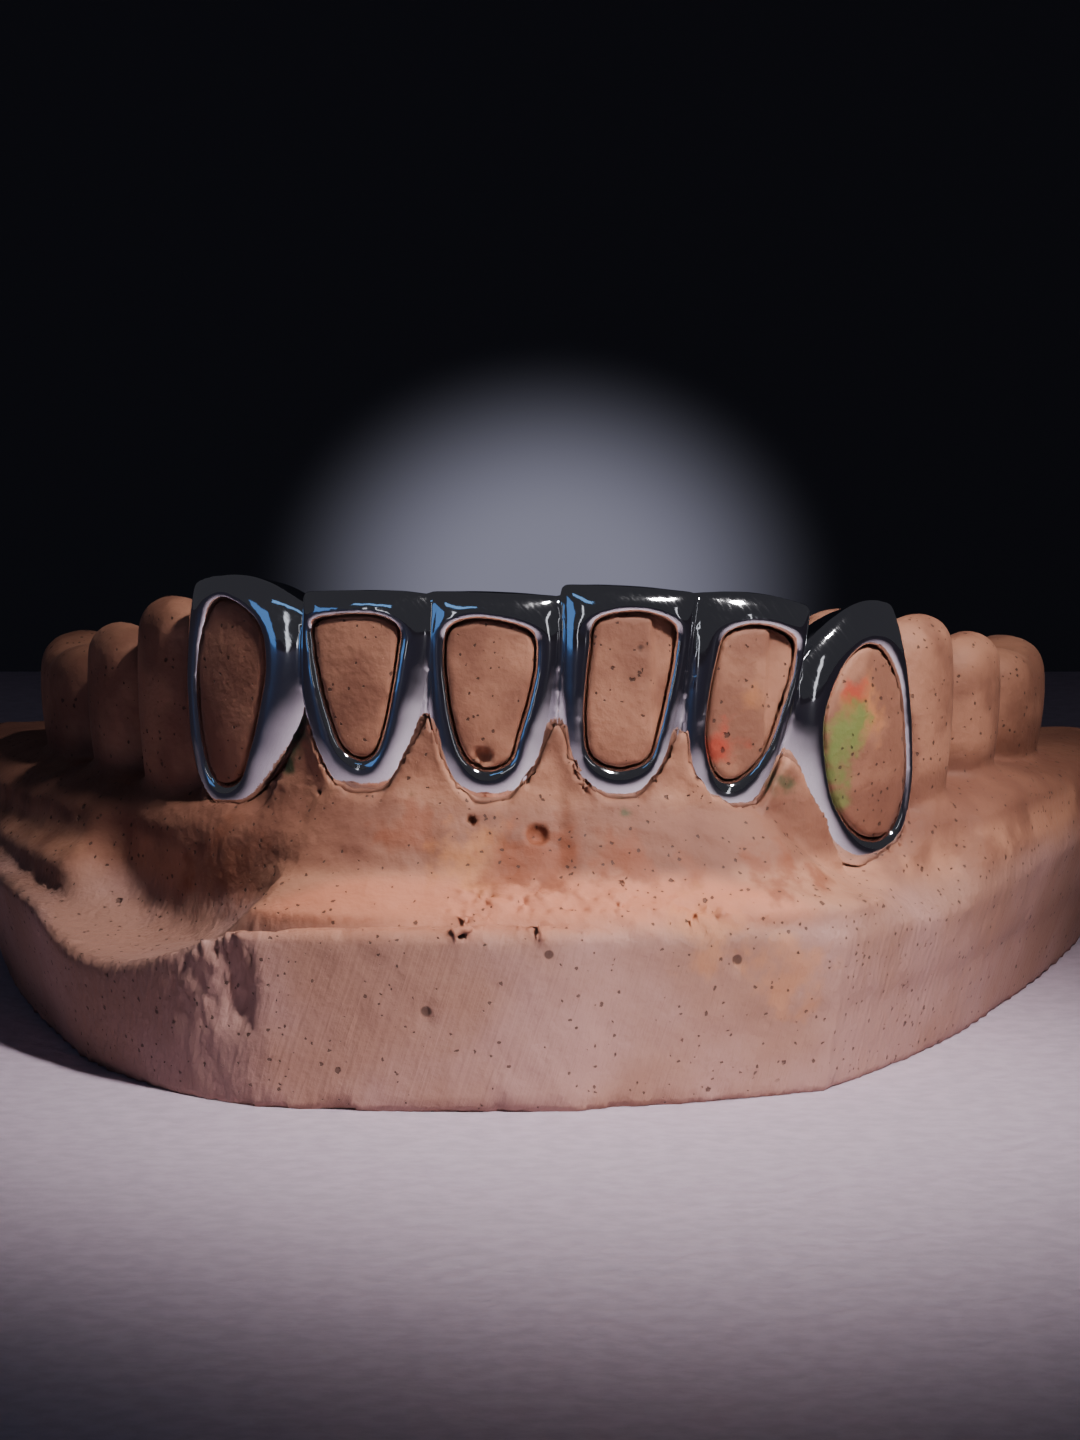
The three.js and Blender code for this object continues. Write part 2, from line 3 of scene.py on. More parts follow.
import bpy
import numpy as np
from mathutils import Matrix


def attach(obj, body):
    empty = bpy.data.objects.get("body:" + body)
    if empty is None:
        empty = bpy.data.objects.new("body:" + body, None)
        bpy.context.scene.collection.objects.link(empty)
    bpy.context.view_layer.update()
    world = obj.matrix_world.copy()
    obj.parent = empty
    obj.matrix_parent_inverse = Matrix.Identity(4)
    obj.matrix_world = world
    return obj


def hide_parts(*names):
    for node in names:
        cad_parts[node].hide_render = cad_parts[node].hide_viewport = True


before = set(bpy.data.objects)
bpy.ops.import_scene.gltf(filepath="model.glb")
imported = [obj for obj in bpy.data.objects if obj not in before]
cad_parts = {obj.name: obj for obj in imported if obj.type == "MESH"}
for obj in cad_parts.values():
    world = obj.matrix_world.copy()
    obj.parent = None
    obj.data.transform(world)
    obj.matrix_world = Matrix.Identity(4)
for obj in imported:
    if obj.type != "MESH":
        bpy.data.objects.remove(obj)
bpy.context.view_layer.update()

MM = 0.001

# The cast and the line of the teeth, in millimetres, as the frame has them
BASE_WIDTH = 56.5
BASE_DEPTH = 43.0
BASE_HEIGHT = 8.4
BASE_FLARE = 3.0
FRONT_LEDGE = 5.0
FRONT = -BASE_DEPTH / 2
FACE_LINE = FRONT + FRONT_LEDGE
CANINE_HALF_SPREAD = 14.0
CANINE_SET_BACK = 4.3
ARCH_POWER = 3.09
MIDLINE = 0.85
RIDGE_THICKNESS = 13.0
GUM_LINE = 3.65

# The caps
WALL = 0.55
EDGE_WALL = 0.6
SOLDER_OVERLAP = 0.35
PARTITION = 0.5
WINDOW_REACH = 1.9
INCISOR_DEPTH = 6.2
CANINE_DEPTH = 7.8
FACE_RADIUS_ACROSS = 11.0
FACE_RADIUS_UP = 26.0
NECK_CURVE = 1.85  # how a cap's lower edge climbs to the seams: 1 straight, 2 a parabola
CUSP_ROUNDNESS = 0.45
SECTION_POWER = 2.6
LINGUAL_TAPER = 0.24
WIDEST_AT = 0.38
EDGE_ROUNDING = 1.3
SQUARER_SHOULDER = 0.95
FULLER_FACE = 0.25  # how much further forward the crown is made, before its frame is cut from it
FRAME_SIDE = 0.72  # width of the frame round a window: at its sides, its foot and its top
FRAME_FOOT = 1.0
FRAME_TOP = 0.45
FRAME_TILT = 0.85  # slope of the frame's face towards the window, at the window and at its crest
CREST_TILT = 0.25
FLANK_SLOPE = 0.3
FLANK_ROUNDING = 0.16
FRAME_BLEND = 0.4
FRAME_WALL = 0.5
RIM_ROUNDING = 0.34
CREASE = 0.12
ROOT_SINK = 0.12  # how far the plaster root's face lies behind the cap's
ROOT_TAPER = 0.16
ROOT_REACH = 6.5
LEDGE_STEP = 0.3  # how much deeper the plaster lies beyond the ledge in some windows
LEDGE_LEAN = 0.03
LEDGE_EDGE = 0.05
NO_LEDGE = 2
PLUG_SET_BACK = 1.6  # the middle of the plaster in a window, behind the cap's face, and half its thickness
PLUG_HALF = 1.15
CAST_GAP = 0.07  # seen between metal and plaster
CANINE_FROM = 7  # a crown wider than this is as deep as a canine
SHARE_LIMITS = (-0.2, 1.1)  # heights on a crown at which its sections are looked up, as shares
CUSP_LIMIT = 0.2  # the most that a cusp pulls a crown's sections down, as a share of its height
CUSP_PASSES = 4
SLOPE_START = 0.1  # share of the depth behind which the biting edge slopes down
EDGE_STEEPNESS = 0.95
FOOT_RANGE = (0.22, 0.42)  # shares of the height over which a frame's width changes to its foot's and top's
TOP_RANGE = (0.28, 0.4)
SHOULDER_RANGE = (0.5, 0.95)
WINDOW_LIP = 0.3  # how far the frame's roll runs on past the window's edge
ROOT_POWER = 1.5
EASING = 15  # places on each side over which a crown table's corners are rounded
EASED_PLACES = 281
CURVE_STEPS = 16
CHART_STEP = 0.06
CHART_MARGIN = 2
CAP_MARGIN = 1.6  # how far round a tooth its field is worked out
STUMP_MARGIN = 2.4
BACK_TOOTH_MARGIN = 4.5

# The back teeth
PREMOLAR_DEPTH = 7.8
MOLAR_DEPTH = 10.4
BACK_TOOTH_POWER = 2.7
BACK_TOOTH_TAPER = 0.16  # how much narrower a back tooth is at its neck and at its top
BACK_TOOTH_TOP = 0.1
GROOVE_DEPTH = 1.3
GROOVE_WIDTH = 1.1
VALLEY_DEPTH = 0.5
BACK_TOOTH_ROUNDING = 1.6
BACK_TOOTH_ROOT = 2.2
BACK_TOOTH_FOOT = 0.5

# Upright sections of a cap: shares of its height, half width and depth
CROWN_ROWS = np.array([
    # height, width, labial, lingual
    (0.0, 0.72, 0.15, 0.95),
    (0.12, 0.8, 0.1, 1.0),
    (0.28, 0.9, 0.06, 0.97),
    (0.5, 0.98, 0.05, 0.86),
    (0.72, 1.0, 0.06, 0.74),
    (0.88, 0.99, 0.08, 0.65),
    (1.0, 0.99, 0.1, 0.6),
])

WINDOW_LEVELS = (0.93, 0.74, 0.5, 0.26, 0.07)

RIGHT_TEETH = (
    dict(width=6.3, height=10.3, rise=0.73, lean=4, pitch=3, turn=1, cusp=0.15, slope=0.12, ledge=0.42,
         root=(0, 0), neck_at=0.05, neck=(0.37, 0.33),
         top=0.887, bottom=0.185, top_at=0.12, bottom_at=0.00,
         left=(-0.44, -0.51, -0.53, -0.51, -0.39), right=(0.64, 0.69, 0.63, 0.55, 0.42)),
    dict(width=5.95, height=10.5, rise=0.16, lean=8, pitch=3, turn=-3, cusp=0.5, slope=0.15, ledge=0.36,
         root=(0, 0), neck_at=0.15, neck=(0.36, 0.3),
         top=0.854, bottom=0.163, top_at=0.11, bottom_at=-0.03,
         left=(-0.40, -0.51, -0.54, -0.49, -0.30), right=(0.70, 0.78, 0.67, 0.54, 0.27)),
    dict(width=8.7, height=12.8, rise=-3.15, lean=-10, pitch=3, turn=-9, cusp=3.6, cusp_at=0.45,
         roundness=0.9, slope=0.4, root=(-0.08, 0.22), neck_at=0.3, neck=(0.37, 0.34), neck_curve=2.4,
         top=0.827, bottom=0.084, top_at=0.27, bottom_at=0.37,
         left=(-0.07, -0.37, -0.43, -0.33, -0.01), right=(0.59, 0.79, 0.80, 0.77, 0.62)),
    dict(width=7.0, height=9.6, rise=-1.2, kind="premolar"),
    dict(width=7.1, height=7.6, rise=-0.8, kind="premolar"),
    dict(width=11.0, height=6.6, rise=-1.4, kind="molar"),
)
LEFT_TEETH = (
    dict(width=6.4, height=10.25, rise=0.5, lean=2, pitch=3, turn=-1, cusp=0.1, slope=0.12,
         root=(0.08, -0.05), neck_at=-0.15, neck=(0.52, 0.41),
         top=0.878, bottom=0.206, top_at=-0.20, bottom_at=-0.06,
         left=(-0.63, -0.70, -0.64, -0.53, -0.35), right=(0.47, 0.58, 0.51, 0.38, 0.26)),
    dict(width=6.45, height=10.05, rise=0.8, lean=2, pitch=3, turn=3, cusp=0.3, cusp_at=0.4, slope=0.15,
         root=(0.1, -0.1), neck_at=-0.05, neck=(0.52, 0.45),
         top=0.879, bottom=0.218, top_at=0.04, bottom_at=-0.03,
         left=(-0.73, -0.75, -0.64, -0.48, -0.30), right=(0.45, 0.46, 0.40, 0.31, 0.18)),
    dict(width=8.4, height=11.5, rise=-0.35, lean=8, pitch=3, turn=8, cusp=1.8, cusp_at=-0.1, slope=0.3,
         root=(0.08, -0.2), neck_at=-0.2, neck=(0.34, 0.6),
         top=0.875, bottom=0.106, top_at=-0.31, bottom_at=-0.26,
         left=(-0.57, -0.68, -0.68, -0.59, -0.46), right=(0.11, 0.29, 0.27, 0.17, 0.01)),
    dict(width=7.0, height=10.0, rise=-0.6, kind="premolar"),
    dict(width=7.1, height=8.0, rise=-0.6, kind="premolar"),
    dict(width=11.0, height=6.8, rise=-1.2, kind="molar"),
)

# The base's plan: shares of its depth from the front, half width and height
BASE_PLAN = np.array([
    # back, left, left top, right, right top
    (0.0, 0.2, 1.0, 0.02, 1.0),
    (0.023, 0.43, 0.99, 0.12, 0.97),
    (0.045, 0.49, 0.92, 0.24, 0.92),
    (0.11, 0.6, 0.76, 0.46, 0.85),
    (0.25, 0.74, 0.78, 0.585, 0.85),
    (0.4, 0.815, 0.84, 0.7, 0.87),
    (0.58, 0.89, 0.9, 0.8, 0.9),
    (0.77, 0.95, 0.95, 0.9, 0.95),
    (1.0, 1.0, 1.0, 1.0, 1.0),
])

RIDGE_ROWS = np.array([
    # front out, front up, back out, back up
    (0.27, 0.02, 0.18, 0.3),
    (0.12, 0.36, 0.23, 0.8),
    (0.08, 0.5, 0.2, 1.15),
    (0.02, 0.85, 0.1, 1.35),
    (-0.12, 1.4, -0.16, 1.4),
    (-0.36, 1.4, -0.66, 1.4),
    (-0.5, 0.9, -0.86, 1.0),
    (-0.6, -0.9, -0.95, -0.9),
])

FAR = 9.0  # a distance beyond every margin
TINY = 1e-6
WALK_STEPS = 40


def arch_depth(x):
    return CANINE_SET_BACK * (np.abs(x) / CANINE_HALF_SPREAD) ** ARCH_POWER


def arch_slope(x):
    return np.sign(x) * ARCH_POWER * arch_depth(x) / np.maximum(np.abs(x), TINY)


def walk_arch(start, distance):
    """A sideways place on the arch, that far along it from another."""
    x = start
    for _ in range(WALK_STEPS):
        x += distance / WALK_STEPS / math.hypot(1, float(arch_slope(x)))
    return x


def turned(axis, angle):
    c, s = math.cos(angle), math.sin(angle)
    if axis == "x":
        return np.array([[1, 0, 0], [0, c, -s], [0, s, c]])
    if axis == "y":
        return np.array([[c, 0, s], [0, 1, 0], [-s, 0, c]])
    return np.array([[c, -s, 0], [s, c, 0], [0, 0, 1]])


def place_teeth(teeth, side):
    """Each tooth of one side with its own axes, middle, depth and the seam with the tooth before it."""
    placed = []
    contact = MIDLINE - side * SOLDER_OVERLAP / 2
    for row in teeth:
        tooth = dict(row)
        tooth["seam"] = contact + side * SOLDER_OVERLAP / 2
        overlap = SOLDER_OVERLAP if "left" in row else 0
        x = walk_arch(contact, side * row["width"] / 2)
        contact = walk_arch(x, side * (row["width"] / 2 - overlap))
        z = BASE_HEIGHT + GUM_LINE + row["rise"] + row["height"] / 2
        tooth["middle"] = np.array([x, FACE_LINE + arch_depth(x), z])
        yaw = math.atan(float(arch_slope(x))) + math.radians(row.get("turn", 0))
        axes = turned("z", yaw) @ turned("y", math.radians(row.get("lean", 0)))
        tooth["axes"] = axes @ turned("x", math.radians(row.get("pitch", 0)))
        tooth["depth"] = CANINE_DEPTH if row["width"] > CANINE_FROM else INCISOR_DEPTH
        tooth["side"] = side
        placed.append(tooth)
    return placed


TEETH = place_teeth(LEFT_TEETH, -1) + place_teeth(RIGHT_TEETH, 1)
CAPPED = sorted((t for t in TEETH if "left" in t), key=lambda t: t["middle"][0])
BARE = [t for t in TEETH if "left" not in t]


def smooth_max(a, b, reach):
    """The larger of two fields, with the crease between them rounded off."""
    h = np.clip(0.5 + 0.5 * (a - b) / reach, 0, 1)
    return b + (a - b) * h + reach * h * (1 - h)


def smooth_min(a, b, reach):
    return -smooth_max(-a, -b, reach)


def smoothstep(x, low, high):
    t = np.clip((x - low) / (high - low), 0, 1)
    return t * t * (3 - 2 * t)


def eased_table(column):
    """A column of the crown table as a smooth function of the height share."""
    t = np.linspace(-0.2, 1.2, EASED_PLACES)
    values = np.interp(t, CROWN_ROWS[:, 0], column)
    kernel = np.hanning(2 * EASING + 1)
    kernel /= kernel.sum()
    padded = np.pad(values, EASING, mode="edge")
    return t, np.convolve(padded, kernel, mode="valid")


CROWN_WIDTH, CROWN_LABIAL, CROWN_LINGUAL = (eased_table(CROWN_ROWS[:, i]) for i in (1, 2, 3))


def local(tooth, points):
    """Points in a tooth's own axes: across, inwards and up from its middle."""
    q = (points - tooth["middle"]) @ tooth["axes"]
    return q[:, 0], q[:, 1], q[:, 2]


def crown_fields(tooth, x, y, z, fuller):
    """Distances to a crown's upright sides and to its biting edge, below zero inside."""
    half = tooth["width"] / 2
    height = tooth["height"]
    cusp_x = half * tooth.get("cusp_at", 0)
    roundness = tooth.get("roundness", CUSP_ROUNDNESS)
    cusp = tooth["cusp"] * (np.hypot((x - cusp_x) / half, roundness) - roundness)
    drop = cusp + tooth["slope"] * np.clip(y - SLOPE_START * tooth["depth"], 0, None)
    gentle = np.clip(drop, -CUSP_LIMIT * height, CUSP_LIMIT * height)
    t = np.clip(z / height + 0.5, *SHARE_LIMITS)
    for _ in range(CUSP_PASSES):
        t -= (height * (t - 0.5) - gentle * t ** 4 - z) / (height - 4 * gentle * np.clip(t, 0, 1) ** 3)
        t = np.clip(t, *SHARE_LIMITS)
    left, right = tooth["root"]
    root = np.where(x < 0, left, right) * np.clip(1 - t, 0, 1) ** ROOT_POWER
    wide = half * (np.interp(t, *CROWN_WIDTH) + root)
    outer = tooth["depth"] * np.interp(t, *CROWN_LABIAL) - fuller
    inner = tooth["depth"] * np.interp(t, *CROWN_LINGUAL)
    widest = outer + (inner - outer) * WIDEST_AT
    reach = np.where(y < widest, widest - outer, inner - widest)
    v = (y - widest) / reach
    across = wide * (1 - LINGUAL_TAPER * np.clip(v, 0, 1))
    u = np.abs(x) / across
    v = np.abs(v)
    rho = (u ** SECTION_POWER + v ** SECTION_POWER) ** (1 / SECTION_POWER)
    rho = np.maximum(rho, 0.05)
    lean_x = (u / rho) ** (SECTION_POWER - 1) / across
    lean_y = (v / rho) ** (SECTION_POWER - 1) / reach
    sides = (rho - 1) / np.maximum(np.hypot(lean_x, lean_y), 1e-3)
    return sides, (z - height / 2 + drop) * EDGE_STEEPNESS


def spline(before, start, stop, after, count):
    """Points on smooth curves, each from its start to its stop."""
    points = []
    for s in np.linspace(0, 1, count, endpoint=False):
        points.append(0.5 * (2 * start + (stop - before) * s
                             + (2 * before - 5 * start + 4 * stop - after) * s ** 2
                             + (3 * start - before - 3 * stop + after) * s ** 3))
    return np.stack(points, axis=1).reshape(-1, 2)


def window_outline(tooth):
    """A window's outline in its cap's own axes: a closed curve through the table's points."""
    half, height = tooth["width"] / 2, tooth["height"]
    level = [height * (tooth["bottom"] + (tooth["top"] - tooth["bottom"]) * s - 0.5) for s in WINDOW_LEVELS]
    knots = [(tooth["top_at"] * half, height * (tooth["top"] - 0.5))]
    knots += [(x * half, z) for x, z in zip(tooth["right"], level)]
    knots += [(tooth["bottom_at"] * half, height * (tooth["bottom"] - 0.5))]
    knots += [(x * half, z) for x, z in reversed(list(zip(tooth["left"], level)))]
    knots = np.array(knots)
    before, after, beyond = (np.roll(knots, k, axis=0) for k in (1, -1, -2))
    return spline(before, knots, after, beyond, CURVE_STEPS)


def outline_distance(outline, x, z):
    """Signed distance of flat points to a closed outline, below zero inside."""
    best = np.full(x.shape, 1e9)
    inside = np.zeros(x.shape, bool)
    for (ax, az), (bx, bz) in zip(outline, np.roll(outline, -1, axis=0)):
        ex, ez = bx - ax, bz - az
        share = np.clip(((x - ax) * ex + (z - az) * ez) / max(ex * ex + ez * ez, 1e-12), 0, 1)
        best = np.minimum(best, np.hypot(x - ax - share * ex, z - az - share * ez))
        crosses = (az > z) != (bz > z)
        if abs(ez) > 1e-12:
            inside ^= crosses & (x < ax + (z - az) * ex / ez)
    return np.where(inside, -best, best)


def distance_map(outline, low, high, step):
    xs = np.arange(low[0], high[0] + step, step)
    zs = np.arange(low[1], high[1] + step, step)
    gx, gz = np.meshgrid(xs, zs, indexing="ij")
    return xs, zs, outline_distance(outline, gx, gz)


def look_up(chart, x, z):
    xs, zs, values = chart
    step = xs[1] - xs[0]
    fx = np.clip((x - xs[0]) / step, 0, len(xs) - 1.001)
    fz = np.clip((z - zs[0]) / step, 0, len(zs) - 1.001)
    i, k = fx.astype(int), fz.astype(int)
    a, b = fx - i, fz - k
    low = values[i, k] * (1 - a) + values[i + 1, k] * a
    high = values[i, k + 1] * (1 - a) + values[i + 1, k + 1] * a
    return low * (1 - b) + high * b


for tooth in CAPPED:
    span = tooth["width"] / 2 + CHART_MARGIN, tooth["height"] / 2 + CHART_MARGIN
    tooth["chart"] = distance_map(window_outline(tooth), (-span[0], -span[1]), span, CHART_STEP)


def neck_line(tooth, x):
    """A cap's lower edge, which climbs from its lowest point to each side."""
    across = x / (tooth["width"] / 2) - tooth["neck_at"]
    left, right = tooth["neck"]
    reach = np.where(across < 0, 1 + tooth["neck_at"], 1 - tooth["neck_at"])
    rise = tooth["height"] * np.where(across < 0, left, right)
    share = np.abs(across) / reach
    return rise * share ** tooth.get("neck_curve", NECK_CURVE) - tooth["height"] / 2


def frame_field(tooth, x, y, z):
    """Distance to the front of a cap: a rolled frame round the window, and a flank that falls away."""
    gap = look_up(tooth["chart"], x, z)
    bow = x ** 2 / (2 * FACE_RADIUS_ACROSS) + z ** 2 / (2 * FACE_RADIUS_UP)
    share = z / tooth["height"]
    width = FRAME_SIDE + (FRAME_FOOT - FRAME_SIDE) * smoothstep(-share, *FOOT_RANGE)
    width += (FRAME_TOP - FRAME_SIDE) * smoothstep(share, *TOP_RANGE)
    inwards = width - np.clip(gap, -WINDOW_LIP, width)
    roll = CREST_TILT * inwards + (FRAME_TILT - CREST_TILT) * inwards ** 2 / (2 * width)
    face = bow + roll - y
    flank = (bow + (gap - width) * FLANK_SLOPE - y) / math.hypot(1, FLANK_SLOPE)
    return smooth_max(face, flank, FLANK_ROUNDING), gap, bow


def seam_distance(tooth, points):
    """Distance from the seam with the cap before, growing towards this cap."""
    yaw = math.atan(float(arch_slope(tooth["seam"])))
    normal = turned("z", yaw) @ turned("y", math.radians(tooth["lean"])) @ np.array([1.0, 0, 0])
    at = np.array([tooth["seam"], FACE_LINE + arch_depth(tooth["seam"]), tooth["middle"][2]])
    return ((points - at) @ normal) * tooth["side"]


def shell_field(sides, top, front):
    """Distance to the hollow inside a cap's walls."""
    walls = smooth_max(sides + WALL, top + EDGE_WALL, EDGE_ROUNDING)
    return smooth_max(walls, front + FRAME_WALL, FRAME_BLEND)


def cap_fields(tooth, points):
    """Distances to a cap's outside, to its hollow and to its window's cut."""
    x, y, z = local(tooth, points)
    sides, top = crown_fields(tooth, x, y, z, FULLER_FACE)
    front, gap, bow = frame_field(tooth, x, y, z)
    across = np.abs(x) / (tooth["width"] / 2)
    shoulder = EDGE_ROUNDING - SQUARER_SHOULDER * smoothstep(across, *SHOULDER_RANGE)
    body = smooth_max(smooth_max(sides, top, shoulder), front, FRAME_BLEND)
    outside = smooth_max(body, neck_line(tooth, x) - z, CREASE)
    cut = np.maximum(gap, y - bow - WINDOW_REACH)
    return outside, shell_field(sides, top, front), cut


def near(tooth, points, margin):
    """Which points lie in a box round a tooth."""
    q = np.abs((points - tooth["middle"]) @ tooth["axes"] - np.array([0, tooth["depth"] / 2, 0]))
    reach = np.array([tooth["width"] / 2, tooth["depth"] / 2, tooth["height"] / 2]) + margin
    return np.all(q < reach, axis=1)


def from_midline(tooth):
    return abs(tooth["middle"][0] - MIDLINE)


def hollow_limits(index, points):
    """How far points lie outside a cap's own stretch of the bar, between the walls to its neighbours."""
    tooth = CAPPED[index]
    limit = np.full(len(points), -FAR)
    for other in {index - 1, index + 1} & set(range(len(CAPPED))):
        neighbour = CAPPED[other]
        outer = tooth if from_midline(tooth) > from_midline(neighbour) else neighbour
        if tooth["side"] != neighbour["side"]:
            outer = tooth
        away = seam_distance(outer, points) * (1 if outer is tooth else -1)
        limit = np.maximum(limit, PARTITION / 2 - away)
    return limit


def nearby(teeth, points, margin):
    """Each tooth with points near it: its number, the tooth, a mask of those points, and the points."""
    for index, tooth in enumerate(teeth):
        mask = near(tooth, points, margin)
        if mask.any():
            yield index, tooth, mask, points[mask]


def grill_field(points):
    """Signed distance to the bar of caps."""
    outside = np.full(len(points), FAR)
    inside = np.full(len(points), FAR)
    openings = np.full(len(points), FAR)
    for index, tooth, mask, p in nearby(CAPPED, points, CAP_MARGIN):
        cap, hollow, cut = cap_fields(tooth, p)
        hollow = smooth_max(hollow, hollow_limits(index, p), CREASE)
        outside[mask] = smooth_min(outside[mask], cap, CREASE)
        inside[mask] = np.minimum(inside[mask], hollow)
        openings[mask] = np.minimum(openings[mask], cut)
    return smooth_max(np.maximum(outside, -inside), -openings, RIM_ROUNDING)


def surface_net(field, xs, ys, zs):
    """A closed quad mesh where a field on a grid passes through zero."""
    shape = (len(xs), len(ys), len(zs))
    f = field.reshape(shape)
    solid = f < 0
    grid = (xs, ys, zs)
    cells = tuple(n - 1 for n in shape)
    total = np.zeros(cells + (3,))
    count = np.zeros(cells)
    for axis in range(3):
        head = [slice(None)] * 3
        tail = [slice(None)] * 3
        head[axis], tail[axis] = slice(0, -1), slice(1, None)
        fa, fb = f[tuple(head)], f[tuple(tail)]
        crosses = (fa < 0) != (fb < 0)
        share = np.where(crosses, fa / np.where(crosses, fa - fb, 1), 0)
        a, b = [k for k in range(3) if k != axis]
        coords = [None] * 3
        for k in (a, b):
            lie = [1, 1, 1]
            lie[k] = -1
            coords[k] = np.broadcast_to(grid[k].reshape(lie), share.shape)
        lie = [1, 1, 1]
        lie[axis] = -1
        step = np.diff(grid[axis]).reshape(lie)
        coords[axis] = grid[axis][:-1].reshape(lie) + share * step
        place = np.stack(np.broadcast_arrays(*coords), axis=-1) * crosses[..., None]
        for da in (0, 1):
            for db in (0, 1):
                pick = [slice(None)] * 3
                pick[a] = slice(da, shape[a] - 1 + da)
                pick[b] = slice(db, shape[b] - 1 + db)
                total += place[tuple(pick)]
                count += crosses[tuple(pick)]
    used = count > 0
    number = np.full(cells, -1)
    number[used] = np.arange(used.sum())
    points = total[used] / count[used][:, None]
    quads = []
    for axis in range(3):
        a, b = [(1, 2), (2, 0), (0, 1)][axis]
        head = [slice(1, -1)] * 3
        tail = [slice(1, -1)] * 3
        head[axis], tail[axis] = slice(0, -1), slice(1, None)
        sa, sb = solid[tuple(head)], solid[tuple(tail)]
        where = np.argwhere(sa != sb)
        if not len(where):
            continue
        outward = sa[tuple(where.T)]
        where = where + np.array([0 if k == axis else 1 for k in range(3)])
        corners = []
        for da, db in ((0, 0), (1, 0), (1, 1), (0, 1)):
            cell = where.copy()
            cell[:, a] -= 1 - da
            cell[:, b] -= 1 - db
            corners.append(number[tuple(cell.T)])
        quad = np.stack(corners, axis=1)
        quad[~outward] = quad[~outward][:, ::-1]
        quads.append(quad)
    return points, np.concatenate(quads)


NUDGE = 0.01
LEAST_SLOPE = 0.2
LONGEST_MOVE = 0.08


def settle(points, field_of, rounds):
    """Moves points onto a field's zero surface."""
    for _ in range(rounds):
        value = field_of(points)
        slope = np.stack([
            field_of(points + NUDGE * step) - field_of(points - NUDGE * step) for step in np.eye(3)
        ], axis=1) / (2 * NUDGE)
        move = value[:, None] * slope / np.maximum((slope ** 2).sum(axis=1), LEAST_SLOPE)[:, None]
        points = points - np.clip(move, -LONGEST_MOVE, LONGEST_MOVE)
    return points


def grid_points(xs, ys, zs):
    return np.stack(np.meshgrid(xs, ys, zs, indexing="ij"), axis=-1).reshape(-1, 3)


def make_piece(name, points, quads, material):
    """A smooth-shaded mesh object from points in millimetres."""
    mesh = bpy.data.meshes.new(name)
    mesh.vertices.add(len(points))
    mesh.vertices.foreach_set("co", (points * MM).astype(np.float32).ravel())
    mesh.loops.add(quads.size)
    mesh.loops.foreach_set("vertex_index", quads.astype(np.int32).ravel())
    mesh.polygons.add(len(quads))
    mesh.polygons.foreach_set("loop_start", np.arange(0, quads.size, 4, dtype=np.int32))
    mesh.polygons.foreach_set("use_smooth", np.ones(len(quads), bool))
    mesh.update(calc_edges=True)
    mesh.validate()
    mesh.materials.append(material)
    piece = bpy.data.objects.new(name, mesh)
    bpy.context.scene.collection.objects.link(piece)
    return piece


def fine_grid(coarse_step, fine_step, fine_low, fine_high, low, high):
    """Grid lines that are close together over one stretch and wider apart outside it."""
    middle = np.arange(fine_low, fine_high + fine_step / 2, fine_step)
    before = np.arange(middle[0] - coarse_step, low - coarse_step, -coarse_step)[::-1]
    after = np.arange(middle[-1] + coarse_step, high + coarse_step, coarse_step)
    return np.concatenate([before, middle, after])


COARSE_SKIP = 4  # grid lines from one rough sample to the next


def sample_field(field_of, xs, ys, zs, band):
    """A field on a grid, worked out in full only near its surface."""
    lines = [np.unique(np.append(np.arange(0, len(a), COARSE_SKIP), len(a) - 1)) for a in (xs, ys, zs)]
    rough = field_of(grid_points(xs[lines[0]], ys[lines[1]], zs[lines[2]]))
    rough = rough.reshape([len(a) for a in lines])
    for axis, (line, full) in enumerate(zip(lines, (xs, ys, zs))):
        at = np.interp(full, full[line], np.arange(len(line)))
        low = np.minimum(at.astype(int), len(line) - 2)
        share = (at - low).reshape([-1 if k == axis else 1 for k in range(3)])
        rough = np.take(rough, low, axis) * (1 - share) + np.take(rough, low + 1, axis) * share
    values = rough.ravel()
    close = np.abs(values) < band
    index = np.nonzero(close)[0]
    i, j, k = np.unravel_index(index, (len(xs), len(ys), len(zs)))
    values[index] = field_of(np.stack([xs[i], ys[j], zs[k]], axis=1))
    return values


ARCH_STEP = 0.25
ARCH_PLACES = 240
ARCH_HALF_SPAN = 34
RIDGE_END_DEPTH = BASE_DEPTH - FRONT_LEDGE + 3.0
GUM_HALF_SPAN = 26
GUM_PLACES = 521


def arch_charts():
    end = CANINE_HALF_SPREAD * (RIDGE_END_DEPTH / CANINE_SET_BACK) ** (1 / ARCH_POWER)
    line_x = end * np.sin(np.linspace(-math.pi / 2, math.pi / 2, ARCH_PLACES))
    line_y = FACE_LINE + arch_depth(line_x)
    xs = np.arange(-ARCH_HALF_SPAN, ARCH_HALF_SPAN + ARCH_STEP / 2, ARCH_STEP)
    ys = np.arange(FRONT - 1, FRONT + BASE_DEPTH + 1, ARCH_STEP)
    gx, gy = np.meshgrid(xs, ys, indexing="ij")
    best = np.full(gx.shape, 1e9)
    near_x = np.zeros(gx.shape)
    for i in range(len(line_x) - 1):
        ex, ey = line_x[i + 1] - line_x[i], line_y[i + 1] - line_y[i]
        share = np.clip(((gx - line_x[i]) * ex + (gy - line_y[i]) * ey) / (ex * ex + ey * ey), 0, 1)
        d = np.hypot(gx - line_x[i] - share * ex, gy - line_y[i] - share * ey)
        closer = d < best
        best = np.where(closer, d, best)
        near_x = np.where(closer, line_x[i] + share * ex, near_x)
    outside = gy < FACE_LINE + arch_depth(gx)
    return (xs, ys, np.where(outside, best, -best)), (xs, ys, near_x)


ARCH_OUT, ARCH_NEAR = arch_charts()


